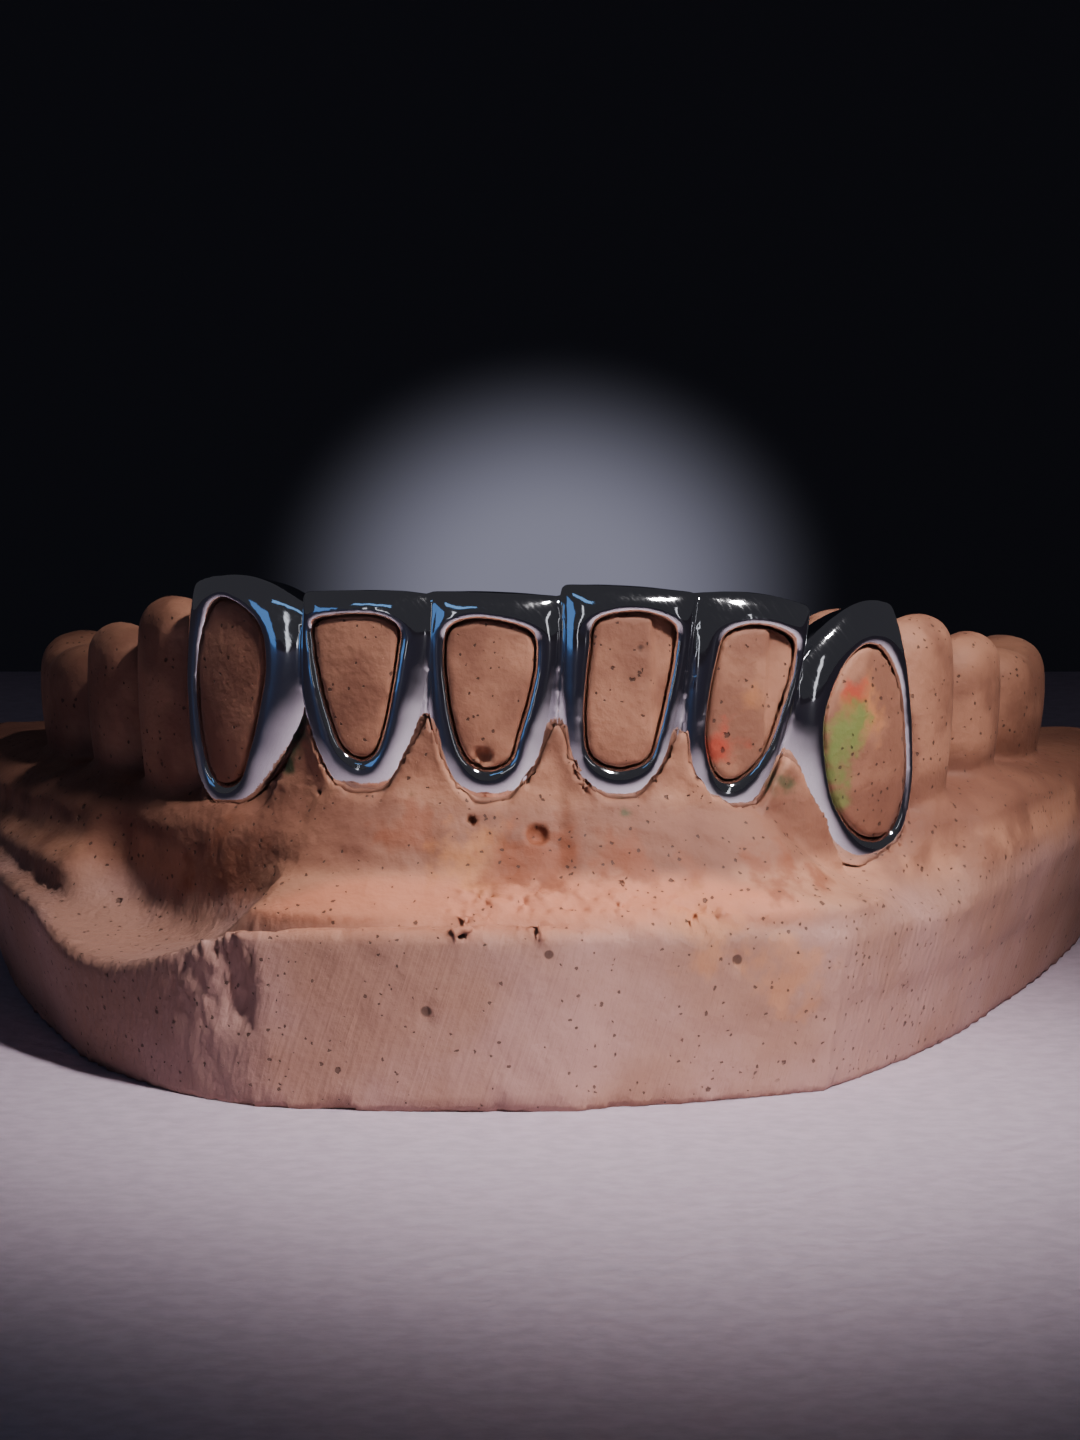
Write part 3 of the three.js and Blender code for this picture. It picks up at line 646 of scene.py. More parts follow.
def gum_line(x):
    """The height of the gum line at places along the arch."""
    line = np.linspace(-GUM_HALF_SPAN, GUM_HALF_SPAN, GUM_PLACES)
    necks = sorted((t["middle"][0], t["middle"][2] - t["height"] / 2) for t in TEETH)
    heights = np.full(line.shape, necks[0][1])
    for (ax, az), (bx, bz) in zip(necks, necks[1:]):
        s = smoothstep(line, ax, bx)
        heights = np.where(line > ax, az + (bz - az) * s, heights)
    return np.interp(x, line, heights)


RIM_TURN = 6.0  # half the stretch over which the rim's height changes sides
BASE_RIM_ROUNDING = 0.22
FOOT_ROUNDING = 0.15
FLARE_EASING = 0.97


def base_field(x, y, z):
    """Distances to the base, whose trimmed sides lean out towards its rim, and to those sides alone."""
    back = np.clip((y - FRONT) / BASE_DEPTH, 0, 1)
    left = BASE_HEIGHT * np.interp(back, BASE_PLAN[:, 0], BASE_PLAN[:, 2])
    right = BASE_HEIGHT * np.interp(back, BASE_PLAN[:, 0], BASE_PLAN[:, 4])
    rim = left + (right - left) * smoothstep(x, -RIM_TURN, RIM_TURN)
    foot_x = x - np.sign(x) * BASE_FLARE * np.sqrt(back) * np.clip(z / rim, 0, 1)
    sides = look_up(BASE_CHART, foot_x, y) * FLARE_EASING
    return smooth_max(smooth_max(sides, z - rim, BASE_RIM_ROUNDING), -z, FOOT_ROUNDING), sides


def smooth_line(knots, count):
    """A smooth open curve through a few points."""
    knots = np.array(knots)
    ends = np.concatenate([[2 * knots[0] - knots[1]], knots, [2 * knots[-1] - knots[-2]]])
    before, start, stop, after = ends[:-3], ends[1:-2], ends[2:-1], ends[3:]
    return np.concatenate([spline(before, start, stop, after, count), knots[-1:]])


PLAN_STEPS = 8
PLAN_CHART_STEP = 0.25
PLAN_MARGINS = (4, 2)


def base_chart():
    """The base's plan: three smooth stretches between its two trimmed corners and its flat back."""
    half = BASE_WIDTH / 2
    y = FRONT + BASE_DEPTH * BASE_PLAN[:, 0]
    right = np.stack([BASE_PLAN[:, 3] * half, y], axis=1)
    left = np.stack([-BASE_PLAN[:, 1] * half, y], axis=1)
    face = np.concatenate([left[LEFT_CORNER::-1], right[:RIGHT_CORNER + 1]])
    outline = np.concatenate([
        smooth_line(left[:LEFT_CORNER - 1:-1], PLAN_STEPS)[:-1],
        smooth_line(face, PLAN_STEPS)[:-1],
        smooth_line(right[RIGHT_CORNER:], PLAN_STEPS),
    ])
    wide, deep = PLAN_MARGINS
    low = (-half - wide, FRONT - deep)
    high = (half + wide, FRONT + BASE_DEPTH + deep)
    return distance_map(outline, low, high, PLAN_CHART_STEP)


LEFT_CORNER, RIGHT_CORNER = 1, 3
BASE_CHART = base_chart()


PAPILLA_BACK = 3.6
PAPILLA_THICKNESS = 5.8
PAPILLA_HEIGHT = 4.0
PAPILLA_HALF_WIDTH = 2.2
PAPILLA_POWER = 1.3
PAPILLA_EASING = 0.8
PAPILLA_BLEND = 0.8


def papilla_heights():
    """How high the plaster stands between the teeth, at places along the arch."""
    line = np.linspace(-20, 20, 401)
    heights = gum_line(line)
    for tooth in CAPPED:
        seam = tooth["seam"]
        neck = gum_line(seam)
        away = np.abs(line - seam) / PAPILLA_HALF_WIDTH
        heights = np.maximum(heights, neck + PAPILLA_HEIGHT * (1.0 - away ** PAPILLA_POWER))
    return line, heights


PAPILLAE = papilla_heights()


RIDGE_ROUNDING = 1.5
RIDGE_TOP = 1.4  # shares of the gum line's height
RIDGE_FOOT = 4  # where the ridge starts, up inside the base
PAPILLA_FOOT = 2  # how far below the base's rim the papillae start
OUTER_EASING = 0.75  # how much a sloping side's field is scaled down to be a distance
INNER_EASING = 0.9
TOP_EASING = 0.8


def ridge_field(x, y, z):
    """Distance to the gum ridge round the arch."""
    out = look_up(ARCH_OUT, x, y)
    along = look_up(ARCH_NEAR, x, y)
    share = arch_depth(along) / RIDGE_END_DEPTH
    gum = gum_line(along) - BASE_HEIGHT
    up = (z - BASE_HEIGHT) / gum
    levels_front = RIDGE_ROWS[:5, 1]
    levels_back = RIDGE_ROWS[:5, 3]
    lab_front = np.interp(up, levels_front, RIDGE_ROWS[:5, 0])
    lab_back = np.interp(up, levels_back, RIDGE_ROWS[:5, 2])
    outer = RIDGE_THICKNESS * (lab_front + (lab_back - lab_front) * share)
    ling_front = np.interp(up, RIDGE_ROWS[:4:-1, 1], RIDGE_ROWS[:4:-1, 0])
    ling_back = np.interp(up, RIDGE_ROWS[:4:-1, 3], RIDGE_ROWS[:4:-1, 2])
    inner = RIDGE_THICKNESS * (ling_front + (ling_back - ling_front) * share)
    sides = smooth_max((out - outer) * OUTER_EASING, (inner - out) * INNER_EASING, RIDGE_ROUNDING)
    top = (up - RIDGE_TOP) * gum * TOP_EASING
    ridge = np.maximum(smooth_max(sides, top, RIDGE_ROUNDING), RIDGE_FOOT - z)
    wall = np.abs(out + PAPILLA_BACK) - PAPILLA_THICKNESS / 2
    between = np.maximum(wall, z - np.interp(along, *PAPILLAE)) * PAPILLA_EASING
    return smooth_min(ridge, np.maximum(between, BASE_HEIGHT - PAPILLA_FOOT - z), PAPILLA_BLEND)


def back_tooth_field(tooth, points):
    """Distance to a plain back tooth: a rounded crown with a groove between its cusps."""
    x, y, z = local(tooth, points)
    depth = MOLAR_DEPTH if tooth["kind"] == "molar" else PREMOLAR_DEPTH
    half, half_depth, height = tooth["width"] / 2, depth / 2, tooth["height"]
    t = np.clip(z / height + 0.5, 0, 1)
    swell = 1 - BACK_TOOTH_TAPER * (1 - t) ** 2 - BACK_TOOTH_TOP * t ** 3
    u, v = np.abs(x) / (half * swell), np.abs(y - half_depth) / (half_depth * swell)
    rho = (u ** BACK_TOOTH_POWER + v ** BACK_TOOTH_POWER) ** (1 / BACK_TOOTH_POWER)
    sides = (rho - 1) * min(half, half_depth) * swell
    cusps = 2 if tooth["kind"] == "molar" else 1
    valley = np.abs(np.cos(x / half * math.pi * cusps / 2 + math.pi / 2 * (cusps - 1)))
    groove = np.exp(-((y - half_depth) / GROOVE_WIDTH) ** 2)
    floor = height / 2 - GROOVE_DEPTH * groove - VALLEY_DEPTH * (1 - valley) * (1 - groove)
    tooth_shape = smooth_max(sides, z - floor, BACK_TOOTH_ROUNDING)
    return smooth_max(tooth_shape, -z - height / 2 - BACK_TOOTH_ROOT, BACK_TOOTH_FOOT)


def root_fields(tooth, points):
    """Distances to the plaster root below a cap and to the cap itself."""
    x, y, z = local(tooth, points)
    sides, top = crown_fields(tooth, x, y, z, FULLER_FACE)
    front, _, _ = frame_field(tooth, x, y, z)
    neck = neck_line(tooth, x)
    cap = smooth_max(smooth_max(sides, top, EDGE_ROUNDING), front, FRAME_BLEND)
    below = np.clip(neck - z, 0, None)
    root = np.maximum(cap + ROOT_SINK + ROOT_TAPER * below ** 2, z - neck)
    return root, np.maximum(cap, neck - z)


NECK_RANGE = (-0.6, 0.1)  # heights over the neck between which a stump's neighbours stop it
BELOW_NECK = 3
STUMP_ROOT = 1.2
STUMP_ROUNDING = 0.3
PLUG_ROUNDING = 0.1
PLUG_BLEND = 0.12


def stump_field(index, points):
    """Distance to the plaster tooth in a cap, which comes forward into the window."""
    tooth = CAPPED[index]
    x, y, z = local(tooth, points)
    sides, top = crown_fields(tooth, x, y, z, FULLER_FACE)
    front, gap, bow = frame_field(tooth, x, y, z)
    above_neck = smoothstep(z - neck_line(tooth, x), *NECK_RANGE)
    limits = (hollow_limits(index, points) + CAST_GAP) * above_neck - BELOW_NECK * (1 - above_neck)
    stump = np.maximum(shell_field(sides, top, front) + CAST_GAP, limits)
    edge = tooth.get("ledge", NO_LEDGE)
    step = LEDGE_STEP * smoothstep(x / (tooth["width"] / 2) + LEDGE_LEAN * z, edge, edge + LEDGE_EDGE)
    plug = smooth_max(gap + CAST_GAP, np.abs(y - bow - PLUG_SET_BACK - step) - PLUG_HALF, PLUG_ROUNDING)
    stump = smooth_min(stump, plug, PLUG_BLEND)
    return smooth_max(stump, -z - tooth["height"] / 2 - STUMP_ROOT, STUMP_ROUNDING)


def ellipsoid(x, y, z, rx, ry, rz):
    """A field close to the distance to an ellipsoid."""
    k = np.sqrt((x / rx) ** 2 + (y / ry) ** 2 + (z / rz) ** 2)
    slope = np.sqrt((x / rx ** 2) ** 2 + (y / ry ** 2) ** 2 + (z / rz ** 2) ** 2)
    return k * (k - 1) / np.maximum(slope, TINY)


# Hollows of the plaster in front of the gum ridge: middle, radii and how softly they run in
HOLLOWS = (
    ((-20.5, -12.8, 10.8), (9.2, 8.6, 5.3), 0.7),
    ((-5.6, -20.6, 11.3), (6.4, 2.9, 2.6), 0.6),
    ((7.6, -20.2, 11.2), (6.0, 2.8, 2.5), 0.6),
    ((21.0, -11.0, 11.6), (7.6, 7.0, 4.6), 0.8),
    ((-14.4, -20.3, 5.2), (1.5, 1.1, 2.4), 0.5),
)
GUM_WALL = 0.4  # how far in front of the teeth's line the hollows stop
# Bubbles that broke open in the plaster: middle and radius
BUBBLES = (
    (-0.1, -16.75, 11.9, 0.5),
    (-9.9, -13.9, 13.35, 0.24),
    (-3.1, -16.2, 12.4, 0.24),
    (-2.6, -15.75, 15.3, 0.42),
    (4.6, -16.0, 20.3, 0.24),
    (5.8, -16.6, 12.3, 0.2),
    (-7.6, -16.6, 9.9, 0.22),
    (-11.4, -15.9, 12.2, 0.2),
    (2.1, -16.6, 12.6, 0.2),
    (-5.1, -21.5, 4.6, 0.3),
    (-1.9, -21.7, 0.1, 0.42),
    (8.9, -18.9, 6.5, 0.28),
    (0.4, -21.5, 7.2, 0.24),
    (-8.6, -20.9, 7.6, 0.24),
)
CREASE_DEPTH = 0.09  # of the upright creases in the gums below the seams
CREASE_WIDTH = 0.5
CREASE_FOOT = (9.6, 10.6)  # heights between which the creases begin, and between which they end
CREASE_TOP = (14.5, 13.0)
LUMP_HEIGHT = 0.05  # of the plaster's soft lumps, its finer ones, and the roughness where it is torn
GRAIN_HEIGHT = 0.03
TEAR_HEIGHT = 0.22
TEAR_LUMPS = 0.6
# Where the plaster is torn: the stretches over which that begins, across, forwards and up
TORN_EDGE = ((-5.5, -3.0), (-18.0, -18.8), (7.6, 8.2))
CHIPPED_PATCH = ((-17.2, -15.6), (-17.0, -18.0), (3.0, 4.4))
CHIPPED_RIGHT = (-12.4, -13.2)


def waves(x, y, z, pitch, bend, shift):
    """Irregular lumps between -1 and 1: three crossed waves, two of them bent by slower ones."""
    across = np.sin(x * pitch[0] + bend[0] * np.sin(z * pitch[1] + shift[0]))
    upright = np.sin(z * pitch[2] + bend[1] * np.sin(x * pitch[3]))
    return across * upright * np.sin(y * pitch[4] + shift[1])


def within(x, y, z, region):
    return smoothstep(x, *region[0]) * smoothstep(y, *region[1]) * smoothstep(z, *region[2])


def weathering(x, y, z):
    """The plaster's unevenness: soft lumps, a torn strip along the land's edge and a chipped patch."""
    lumps = waves(x, y, z, (1.7, 0.9, 2.1, 0.8, 1.9), (2.1, 1.3), (y, z))
    grain = waves(x, y, z, (5.3, 4.1, 6.1, 3.7, 5.7), (2.0, 1.7), (0, x))
    torn = within(x, y, z, TORN_EDGE) + within(x, y, z, CHIPPED_PATCH) * smoothstep(x, *CHIPPED_RIGHT)
    return LUMP_HEIGHT * lumps + GRAIN_HEIGHT * grain + TEAR_HEIGHT * torn * (grain + TEAR_LUMPS * lumps)


RIDGE_TRIM = 1.0  # how softly plaster forms run into each other
RIDGE_BLEND = 0.6
HOLLOW_WALL_BLEND = 1.6
TOOTH_BLEND = 0.7
ROOT_BLEND = 0.8
BUBBLE_RIM = 0.06


def cast_field(points):
    """Signed distance to the whole plaster cast."""
    x, y, z = points.T
    base, base_sides = base_field(x, y, z)
    ridge = smooth_max(ridge_field(x, y, z), base_sides, RIDGE_TRIM)
    gums = smooth_min(base, ridge, RIDGE_BLEND)
    out = look_up(ARCH_OUT, x, y)
    for (cx, cy, cz), radii, reach in HOLLOWS:
        hollow = smooth_max(ellipsoid(x - cx, y - cy, z - cz, *radii), GUM_WALL - out, HOLLOW_WALL_BLEND)
        gums = smooth_max(gums, -hollow, reach)
    along = look_up(ARCH_NEAR, x, y)
    below = smoothstep(z, *CREASE_FOOT) * smoothstep(z, *CREASE_TOP)
    for tooth in CAPPED:
        gums += CREASE_DEPTH * below * np.exp(-((along - tooth["seam"]) / CREASE_WIDTH) ** 2)
    gums += weathering(x, y, z)
    for _, tooth, mask, p in nearby(BARE, points, BACK_TOOTH_MARGIN):
        gums[mask] = smooth_min(gums[mask], back_tooth_field(tooth, p), TOOTH_BLEND)
    for _, tooth, mask, p in nearby(CAPPED, points, ROOT_REACH):
        root, cap = root_fields(tooth, p)
        gums[mask] = smooth_max(smooth_min(gums[mask], root, ROOT_BLEND), CAST_GAP - cap, CREASE)
    for index, _, mask, p in nearby(CAPPED, points, STUMP_MARGIN):
        gums[mask] = np.minimum(gums[mask], stump_field(index, p))
    for cx, cy, cz, radius in BUBBLES:
        away = np.sqrt((x - cx) ** 2 + (y - cy) ** 2 + (z - cz) ** 2)
        gums = smooth_max(gums, radius - away, BUBBLE_RIM)
    return np.maximum(gums, y - FRONT - BASE_DEPTH)


# The metal's surface: noise scales, how deep each shows in the bump, and the roughness between its lines
SWELL_SCALE = 420.0
PINHOLE_SCALE = 700.0
PINHOLE_RIM = (0.05, 0.08)
PINHOLE_DEPTH = 0.12
SCRATCH_LEAN = math.radians(35)
SCRATCH_SCALES = (350.0, 9000.0)
SCRATCH_DEPTH = 0.02
SCRATCH_RANGE = (0.45, 0.75)
SILVER_BUMP = 0.35
SILVER_ROUGHNESS = (0.05, 0.11)
SILVER_COLOUR = (0.78, 0.78, 0.81, 1)
BUMP_DISTANCE = 0.12 * MM

# The plaster's surface: noise scales, depths in the bump, and colours, among them painted shade and painted
# light
WANDER_SCALE = 900.0
MOTTLE_SCALE = 260.0
MOTTLE_RANGE = (0.4, 0.6)
TRIM_MOTTLE_SCALE = 160.0
TRIM_MOTTLE_RANGE = (0.35, 0.7)
GRAIN_SCALE = 2600.0
GRAIN_DEPTH = 0.5
LUMP_SCALE = 700.0
LUMP_DEPTH = 0.9
TRIM_LEAN = math.radians(-18)
TRIM_SCALES = (120.0, 3200.0)
TRIM_DEPTH = 0.9
TEAR_SCALE = 5200.0
TEAR_REACH = 0.22 * MM
PIT_SIZES = ((2600.0, 0.26, 0.36), (1150.0, 0.17, 0.6), (460.0, 0.1, 0.7))  # scale, radius and rarity
PIT_RIM = (-0.01, 0.03)
RARITY_STEP = 0.02
PIT_DEPTH = 1.6
# how strongly the pits are darkened by painted shade
PIT_PAINTED_SHADE_STRENGTH = 0.75
PLASTER_BUMP = 0.9
PLASTER_ROUGHNESS = 0.72
# Places in millimetres between which one tint of the plaster gives way to the next, and where the painted
# shade on the gum band and the painted light on the land begin and end
TRIM_TOP = (7.4, 9.2)
GUM_FOOT = (9.8, 10.6)
GUM_TOP = (13.8, 12.6)
LAND_BACK = (-16.6, -17.8)
LAND_TOP = (10.6, 9.6)
STAIN_EDGE = (2.0, 1.3)
STAIN_RAGGEDNESS = 2.2
BUBBLE_PAINTED_SHADE_RANGE = (1.05, 0.7)  # shares of a bubble's radius between which painted shade darkens its inside
BUBBLE_PAINTED_SHADE_DARKNESS = 0.8
PLASTER_LIGHT = (0.4, 0.175, 0.105, 1)
PLASTER_DARK = (0.25, 0.1, 0.06, 1)
# painted shade: the gum band below the caps is darkened, over the gums' redder tone
GUM_TONE_AND_SHADE_SHARE = 0.7
GUM_TONE_AND_PAINTED_SHADE = (0.17, 0.06, 0.036, 1)
# painted light: the upward-facing land is given a brighter colour
LAND_PAINTED_LIGHT_COLOUR = (0.5, 0.175, 0.095, 1)
TRIMMED_LIGHT = (0.35, 0.185, 0.155, 1)
TRIMMED_DARK = (0.29, 0.14, 0.1, 1)
# painted shade: near-black colour for the insides of pits and open bubbles
PIT_PAINTED_SHADE_COLOUR = (0.04, 0.014, 0.008, 1)
STAIN_COLOURS = {
    "rust": (0.22, 0.06, 0.025, 1),
    "orange": (0.5, 0.19, 0.07, 1),
    "red": (0.45, 0.06, 0.03, 1),
    "green": (0.16, 0.2, 0.05, 1),
    "wax": (0.03, 0.06, 0.02, 1),
}
# Stains: where they are in millimetres, how far they reach, how strong they are and their kind
STAINS = (
    (0.2, -17.1, 10.9, 2.6, 0.85, "rust"),
    (3.6, -16.9, 10.9, 1.8, 0.65, "rust"),
    (-5.9, -16.3, 12.0, 2.0, 0.75, "rust"),
    (-3.2, -17.0, 10.4, 2.6, 0.6, "orange"),
    (-1.6, -17.4, 10.1, 1.8, 0.8, "rust"),
    (6.6, -16.8, 9.9, 1.5, 0.6, "rust"),
    (-17.3, -10.6, 9.1, 1.8, 0.7, "rust"),
    (-13.6, -12.0, 9.6, 3.0, 0.4, "rust"),
    (-17.0, -13.5, 7.4, 1.2, 0.7, "rust"),
    (10.9, -16.2, 9.9, 2.2, 0.75, "rust"),
    (13.0, -15.0, 9.8, 1.7, 0.75, "rust"),
    (3.9, -16.1, 12.8, 0.6, 0.9, "wax"),
    (-11.6, -13.2, 14.6, 0.6, 0.9, "wax"),
    (-5.8, -15.2, 13.6, 0.5, 0.8, "wax"),
    (-0.5, -17.3, 10.6, 2.2, 0.8, "rust"),
    (4.5, -17.4, 10.3, 1.6, 0.7, "rust"),
    (8.2, -14.9, 15.7, 1.6, 0.95, "red"),
    (9.6, -14.5, 18.0, 1.0, 0.5, "orange"),
    (15.1, -10.9, 16.6, 2.1, 0.8, "orange"),
    (14.5, -10.9, 17.7, 1.1, 0.9, "red"),
    (14.3, -11.0, 15.9, 1.7, 0.95, "green"),
    (13.6, -11.0, 14.2, 1.3, 0.9, "green"),
    (13.9, -11.0, 12.6, 1.0, 0.8, "green"),
    (11.0, -17.6, 5.5, 2.6, 0.4, "orange"),
    (7.5, -18.4, 7.6, 2.6, 0.4, "orange"),
    (-11.2, -13.6, 16.0, 1.5, 0.9, "wax"),
    (-5.6, -13.0, 15.6, 1.4, 0.9, "wax"),
    (3.6, -15.4, 13.0, 0.7, 0.7, "wax"),
    (10.6, -13.0, 13.6, 1.4, 0.8, "wax"),
)


def soft_material(name):
    material = bpy.data.materials.new(name)
    material.use_nodes = True
    return material, material.node_tree


def add_node(tree, kind, inputs, **settings):
    """A node with its settings, and its inputs as numbers or as links from other nodes."""
    made = tree.nodes.new(kind)
    for name, value in settings.items():
        setattr(made, name, value)
    for name, value in inputs.items():
        if isinstance(value, bpy.types.NodeSocket):
            tree.links.new(value, made.inputs[name])
        else:
            made.inputs[name].default_value = value
    return made


def noise(tree, place, scale, detail):
    inputs = {"Vector": place, "Scale": scale, "Detail": detail}
    return add_node(tree, "ShaderNodeTexNoise", inputs).outputs["Fac"]


def ramp(tree, value, low, high, to_low=0.0, to_high=1.0):
    inputs = {"Value": value, "From Min": low, "From Max": high, "To Min": to_low, "To Max": to_high}
    return add_node(tree, "ShaderNodeMapRange", inputs, interpolation_type="SMOOTHSTEP").outputs["Result"]


def ramp_mm(tree, value, limits):
    """A ramp between two places in millimetres."""
    return ramp(tree, value, limits[0] * MM, limits[1] * MM)


def away_from(tree, place, x, y, z):
    """The distance to a point that is given in millimetres."""
    inputs = {0: place, 1: (x * MM, y * MM, z * MM)}
    return add_node(tree, "ShaderNodeVectorMath", inputs, operation="DISTANCE").outputs["Value"]


def arithmetic(tree, operation, first, second):
    made = add_node(tree, "ShaderNodeMath", {}, operation=operation)
    for socket, value in zip(made.inputs, (first, second)):
        if isinstance(value, bpy.types.NodeSocket):
            tree.links.new(value, socket)
        else:
            socket.default_value = value
    return made.outputs["Value"]


def times(tree, first, second):
    return arithmetic(tree, "MULTIPLY", first, second)


def blend(tree, share, first, second):
    """One colour over another by a share."""
    made = add_node(tree, "ShaderNodeMix", {}, data_type="RGBA")
    sockets = [k for k in made.inputs if k.type == "RGBA"]
    for socket, value in zip([made.inputs["Factor"]] + sockets, (share, first, second)):
        if isinstance(value, bpy.types.NodeSocket):
            tree.links.new(value, socket)
        else:
            socket.default_value = value
    return [k for k in made.outputs if k.type == "RGBA"][0]


def streaks(tree, place, angle, along, across):
    """Noise drawn out into fine lines that lean by an angle from the vertical."""
    inputs = {"Vector": place, "Angle": angle}
    upright = add_node(tree, "ShaderNodeVectorRotate", inputs, rotation_type="Y_AXIS")
    inputs = {"Vector": upright.outputs["Vector"], "Scale": (across, across, along)}
    stretched = add_node(tree, "ShaderNodeMapping", inputs)
    return noise(tree, stretched.outputs["Vector"], 1.0, 3.0)


def add_bump(tree, shader, height, strength, distance):
    inputs = {"Height": height, "Strength": strength, "Distance": distance}
    bump = add_node(tree, "ShaderNodeBump", inputs)
    tree.links.new(bump.outputs["Normal"], shader.inputs["Normal"])


def silver_material():
    """Mirror-polished white metal with a faint swell, hairline scratches and a few pinholes."""
    material, tree = soft_material("polished_silver")
    shader = tree.nodes["Principled BSDF"]
    place = add_node(tree, "ShaderNodeTexCoord", {}).outputs["Object"]
    swell = noise(tree, place, SWELL_SCALE, 2.0)
    lines = streaks(tree, place, SCRATCH_LEAN, *SCRATCH_SCALES)
    cells = add_node(tree, "ShaderNodeTexVoronoi", {"Vector": place, "Scale": PINHOLE_SCALE})
    pinholes = ramp(tree, cells.outputs["Distance"], *PINHOLE_RIM)
    height = arithmetic(tree, "ADD", times(tree, lines, SCRATCH_DEPTH), swell)
    height = arithmetic(tree, "ADD", height, times(tree, pinholes, PINHOLE_DEPTH))
    add_bump(tree, shader, height, SILVER_BUMP, BUMP_DISTANCE)
    tree.links.new(ramp(tree, lines, *SCRATCH_RANGE, *SILVER_ROUGHNESS), shader.inputs["Roughness"])
    shader.inputs["Metallic"].default_value = 1
    shader.inputs["Base Color"].default_value = SILVER_COLOUR
    return material


def pit_mask(tree, place, scale, radius, rarity):
    """Round pits scattered in some of the cells of a space divided at a scale."""
    cells = add_node(tree, "ShaderNodeTexVoronoi", {"Vector": place, "Scale": scale})
    colour = add_node(tree, "ShaderNodeSeparateColor", {"Color": cells.outputs["Color"]})
    size = times(tree, colour.outputs["Green"], radius)
    inside = arithmetic(tree, "SUBTRACT", size, cells.outputs["Distance"])
    here = ramp(tree, inside, *PIT_RIM)
    return times(tree, here, ramp(tree, colour.outputs["Red"], rarity, rarity + RARITY_STEP))


def tinted(tree, place, axes, high):
    """The plaster's colours: mottled, greyer where trimmed, painted shade darkening the gum band below the
    caps over its redder tone, and painted light brightening the upward-facing land.
    """
    up = axes.outputs["Z"]
    mottle = ramp(tree, noise(tree, place, MOTTLE_SCALE, 6.0), *MOTTLE_RANGE)
    trim_mottle = ramp(tree, noise(tree, place, TRIM_MOTTLE_SCALE, 4.0), *TRIM_MOTTLE_RANGE)
    trimmed = blend(tree, trim_mottle, TRIMMED_DARK, TRIMMED_LIGHT)
    colour = blend(tree, high, trimmed, blend(tree, mottle, PLASTER_DARK, PLASTER_LIGHT))
    # painted shade on the gum band between GUM_FOOT and GUM_TOP, mixed with its redder tone
    gum = times(tree, ramp_mm(tree, up, GUM_FOOT), GUM_TONE_AND_SHADE_SHARE)
    gum = times(tree, gum, ramp_mm(tree, up, GUM_TOP))
    colour = blend(tree, gum, colour, GUM_TONE_AND_PAINTED_SHADE)
    # painted light: the land strip along the front of the base's top is brightened in colour
    land = times(tree, ramp_mm(tree, axes.outputs["Y"], LAND_BACK), high)
    land = times(tree, land, ramp_mm(tree, up, LAND_TOP))
    return blend(tree, land, colour, LAND_PAINTED_LIGHT_COLOUR)


def stains_and_bubble_shade(tree, place, colour):
    """Ragged stains over a colour, and painted shade darkening the insides of the open bubbles."""
    wander = noise(tree, place, WANDER_SCALE, 4.0)
    for x, y, z, radius, strength, stain in STAINS:
        ragged = arithmetic(tree, "DIVIDE", away_from(tree, place, x, y, z), radius * MM)
        ragged = arithmetic(tree, "ADD", ragged, times(tree, wander, STAIN_RAGGEDNESS))
        share = ramp(tree, ragged, *STAIN_EDGE, 0.0, strength)
        colour = blend(tree, share, colour, STAIN_COLOURS[stain])
    # painted shade inside each open bubble but the first
    for x, y, z, radius in BUBBLES[1:]:
        away = away_from(tree, place, x, y, z)
        rim, floor = (radius * share * MM for share in BUBBLE_PAINTED_SHADE_RANGE)
        inside = ramp(tree, away, rim, floor, 0.0, BUBBLE_PAINTED_SHADE_DARKNESS)
        colour = blend(tree, inside, colour, PIT_PAINTED_SHADE_COLOUR)
    return colour


def scattered_pits(tree, place):
    """Pits of three sizes, whose round edges are torn by noise."""
    inputs = {"Vector": place, "Scale": TEAR_SCALE, "Detail": 2.0}
    torn = add_node(tree, "ShaderNodeTexNoise", inputs).outputs["Color"]
    shift = add_node(tree, "ShaderNodeVectorMath", {0: torn, "Scale": TEAR_REACH}, operation="SCALE")
    inputs = {0: place, 1: shift.outputs["Vector"]}
    uneven = add_node(tree, "ShaderNodeVectorMath", inputs, operation="ADD").outputs["Vector"]
    fine, middle, wide = (pit_mask(tree, uneven, *size) for size in PIT_SIZES)
    return arithmetic(tree, "MAXIMUM", arithmetic(tree, "MAXIMUM", fine, middle), wide)


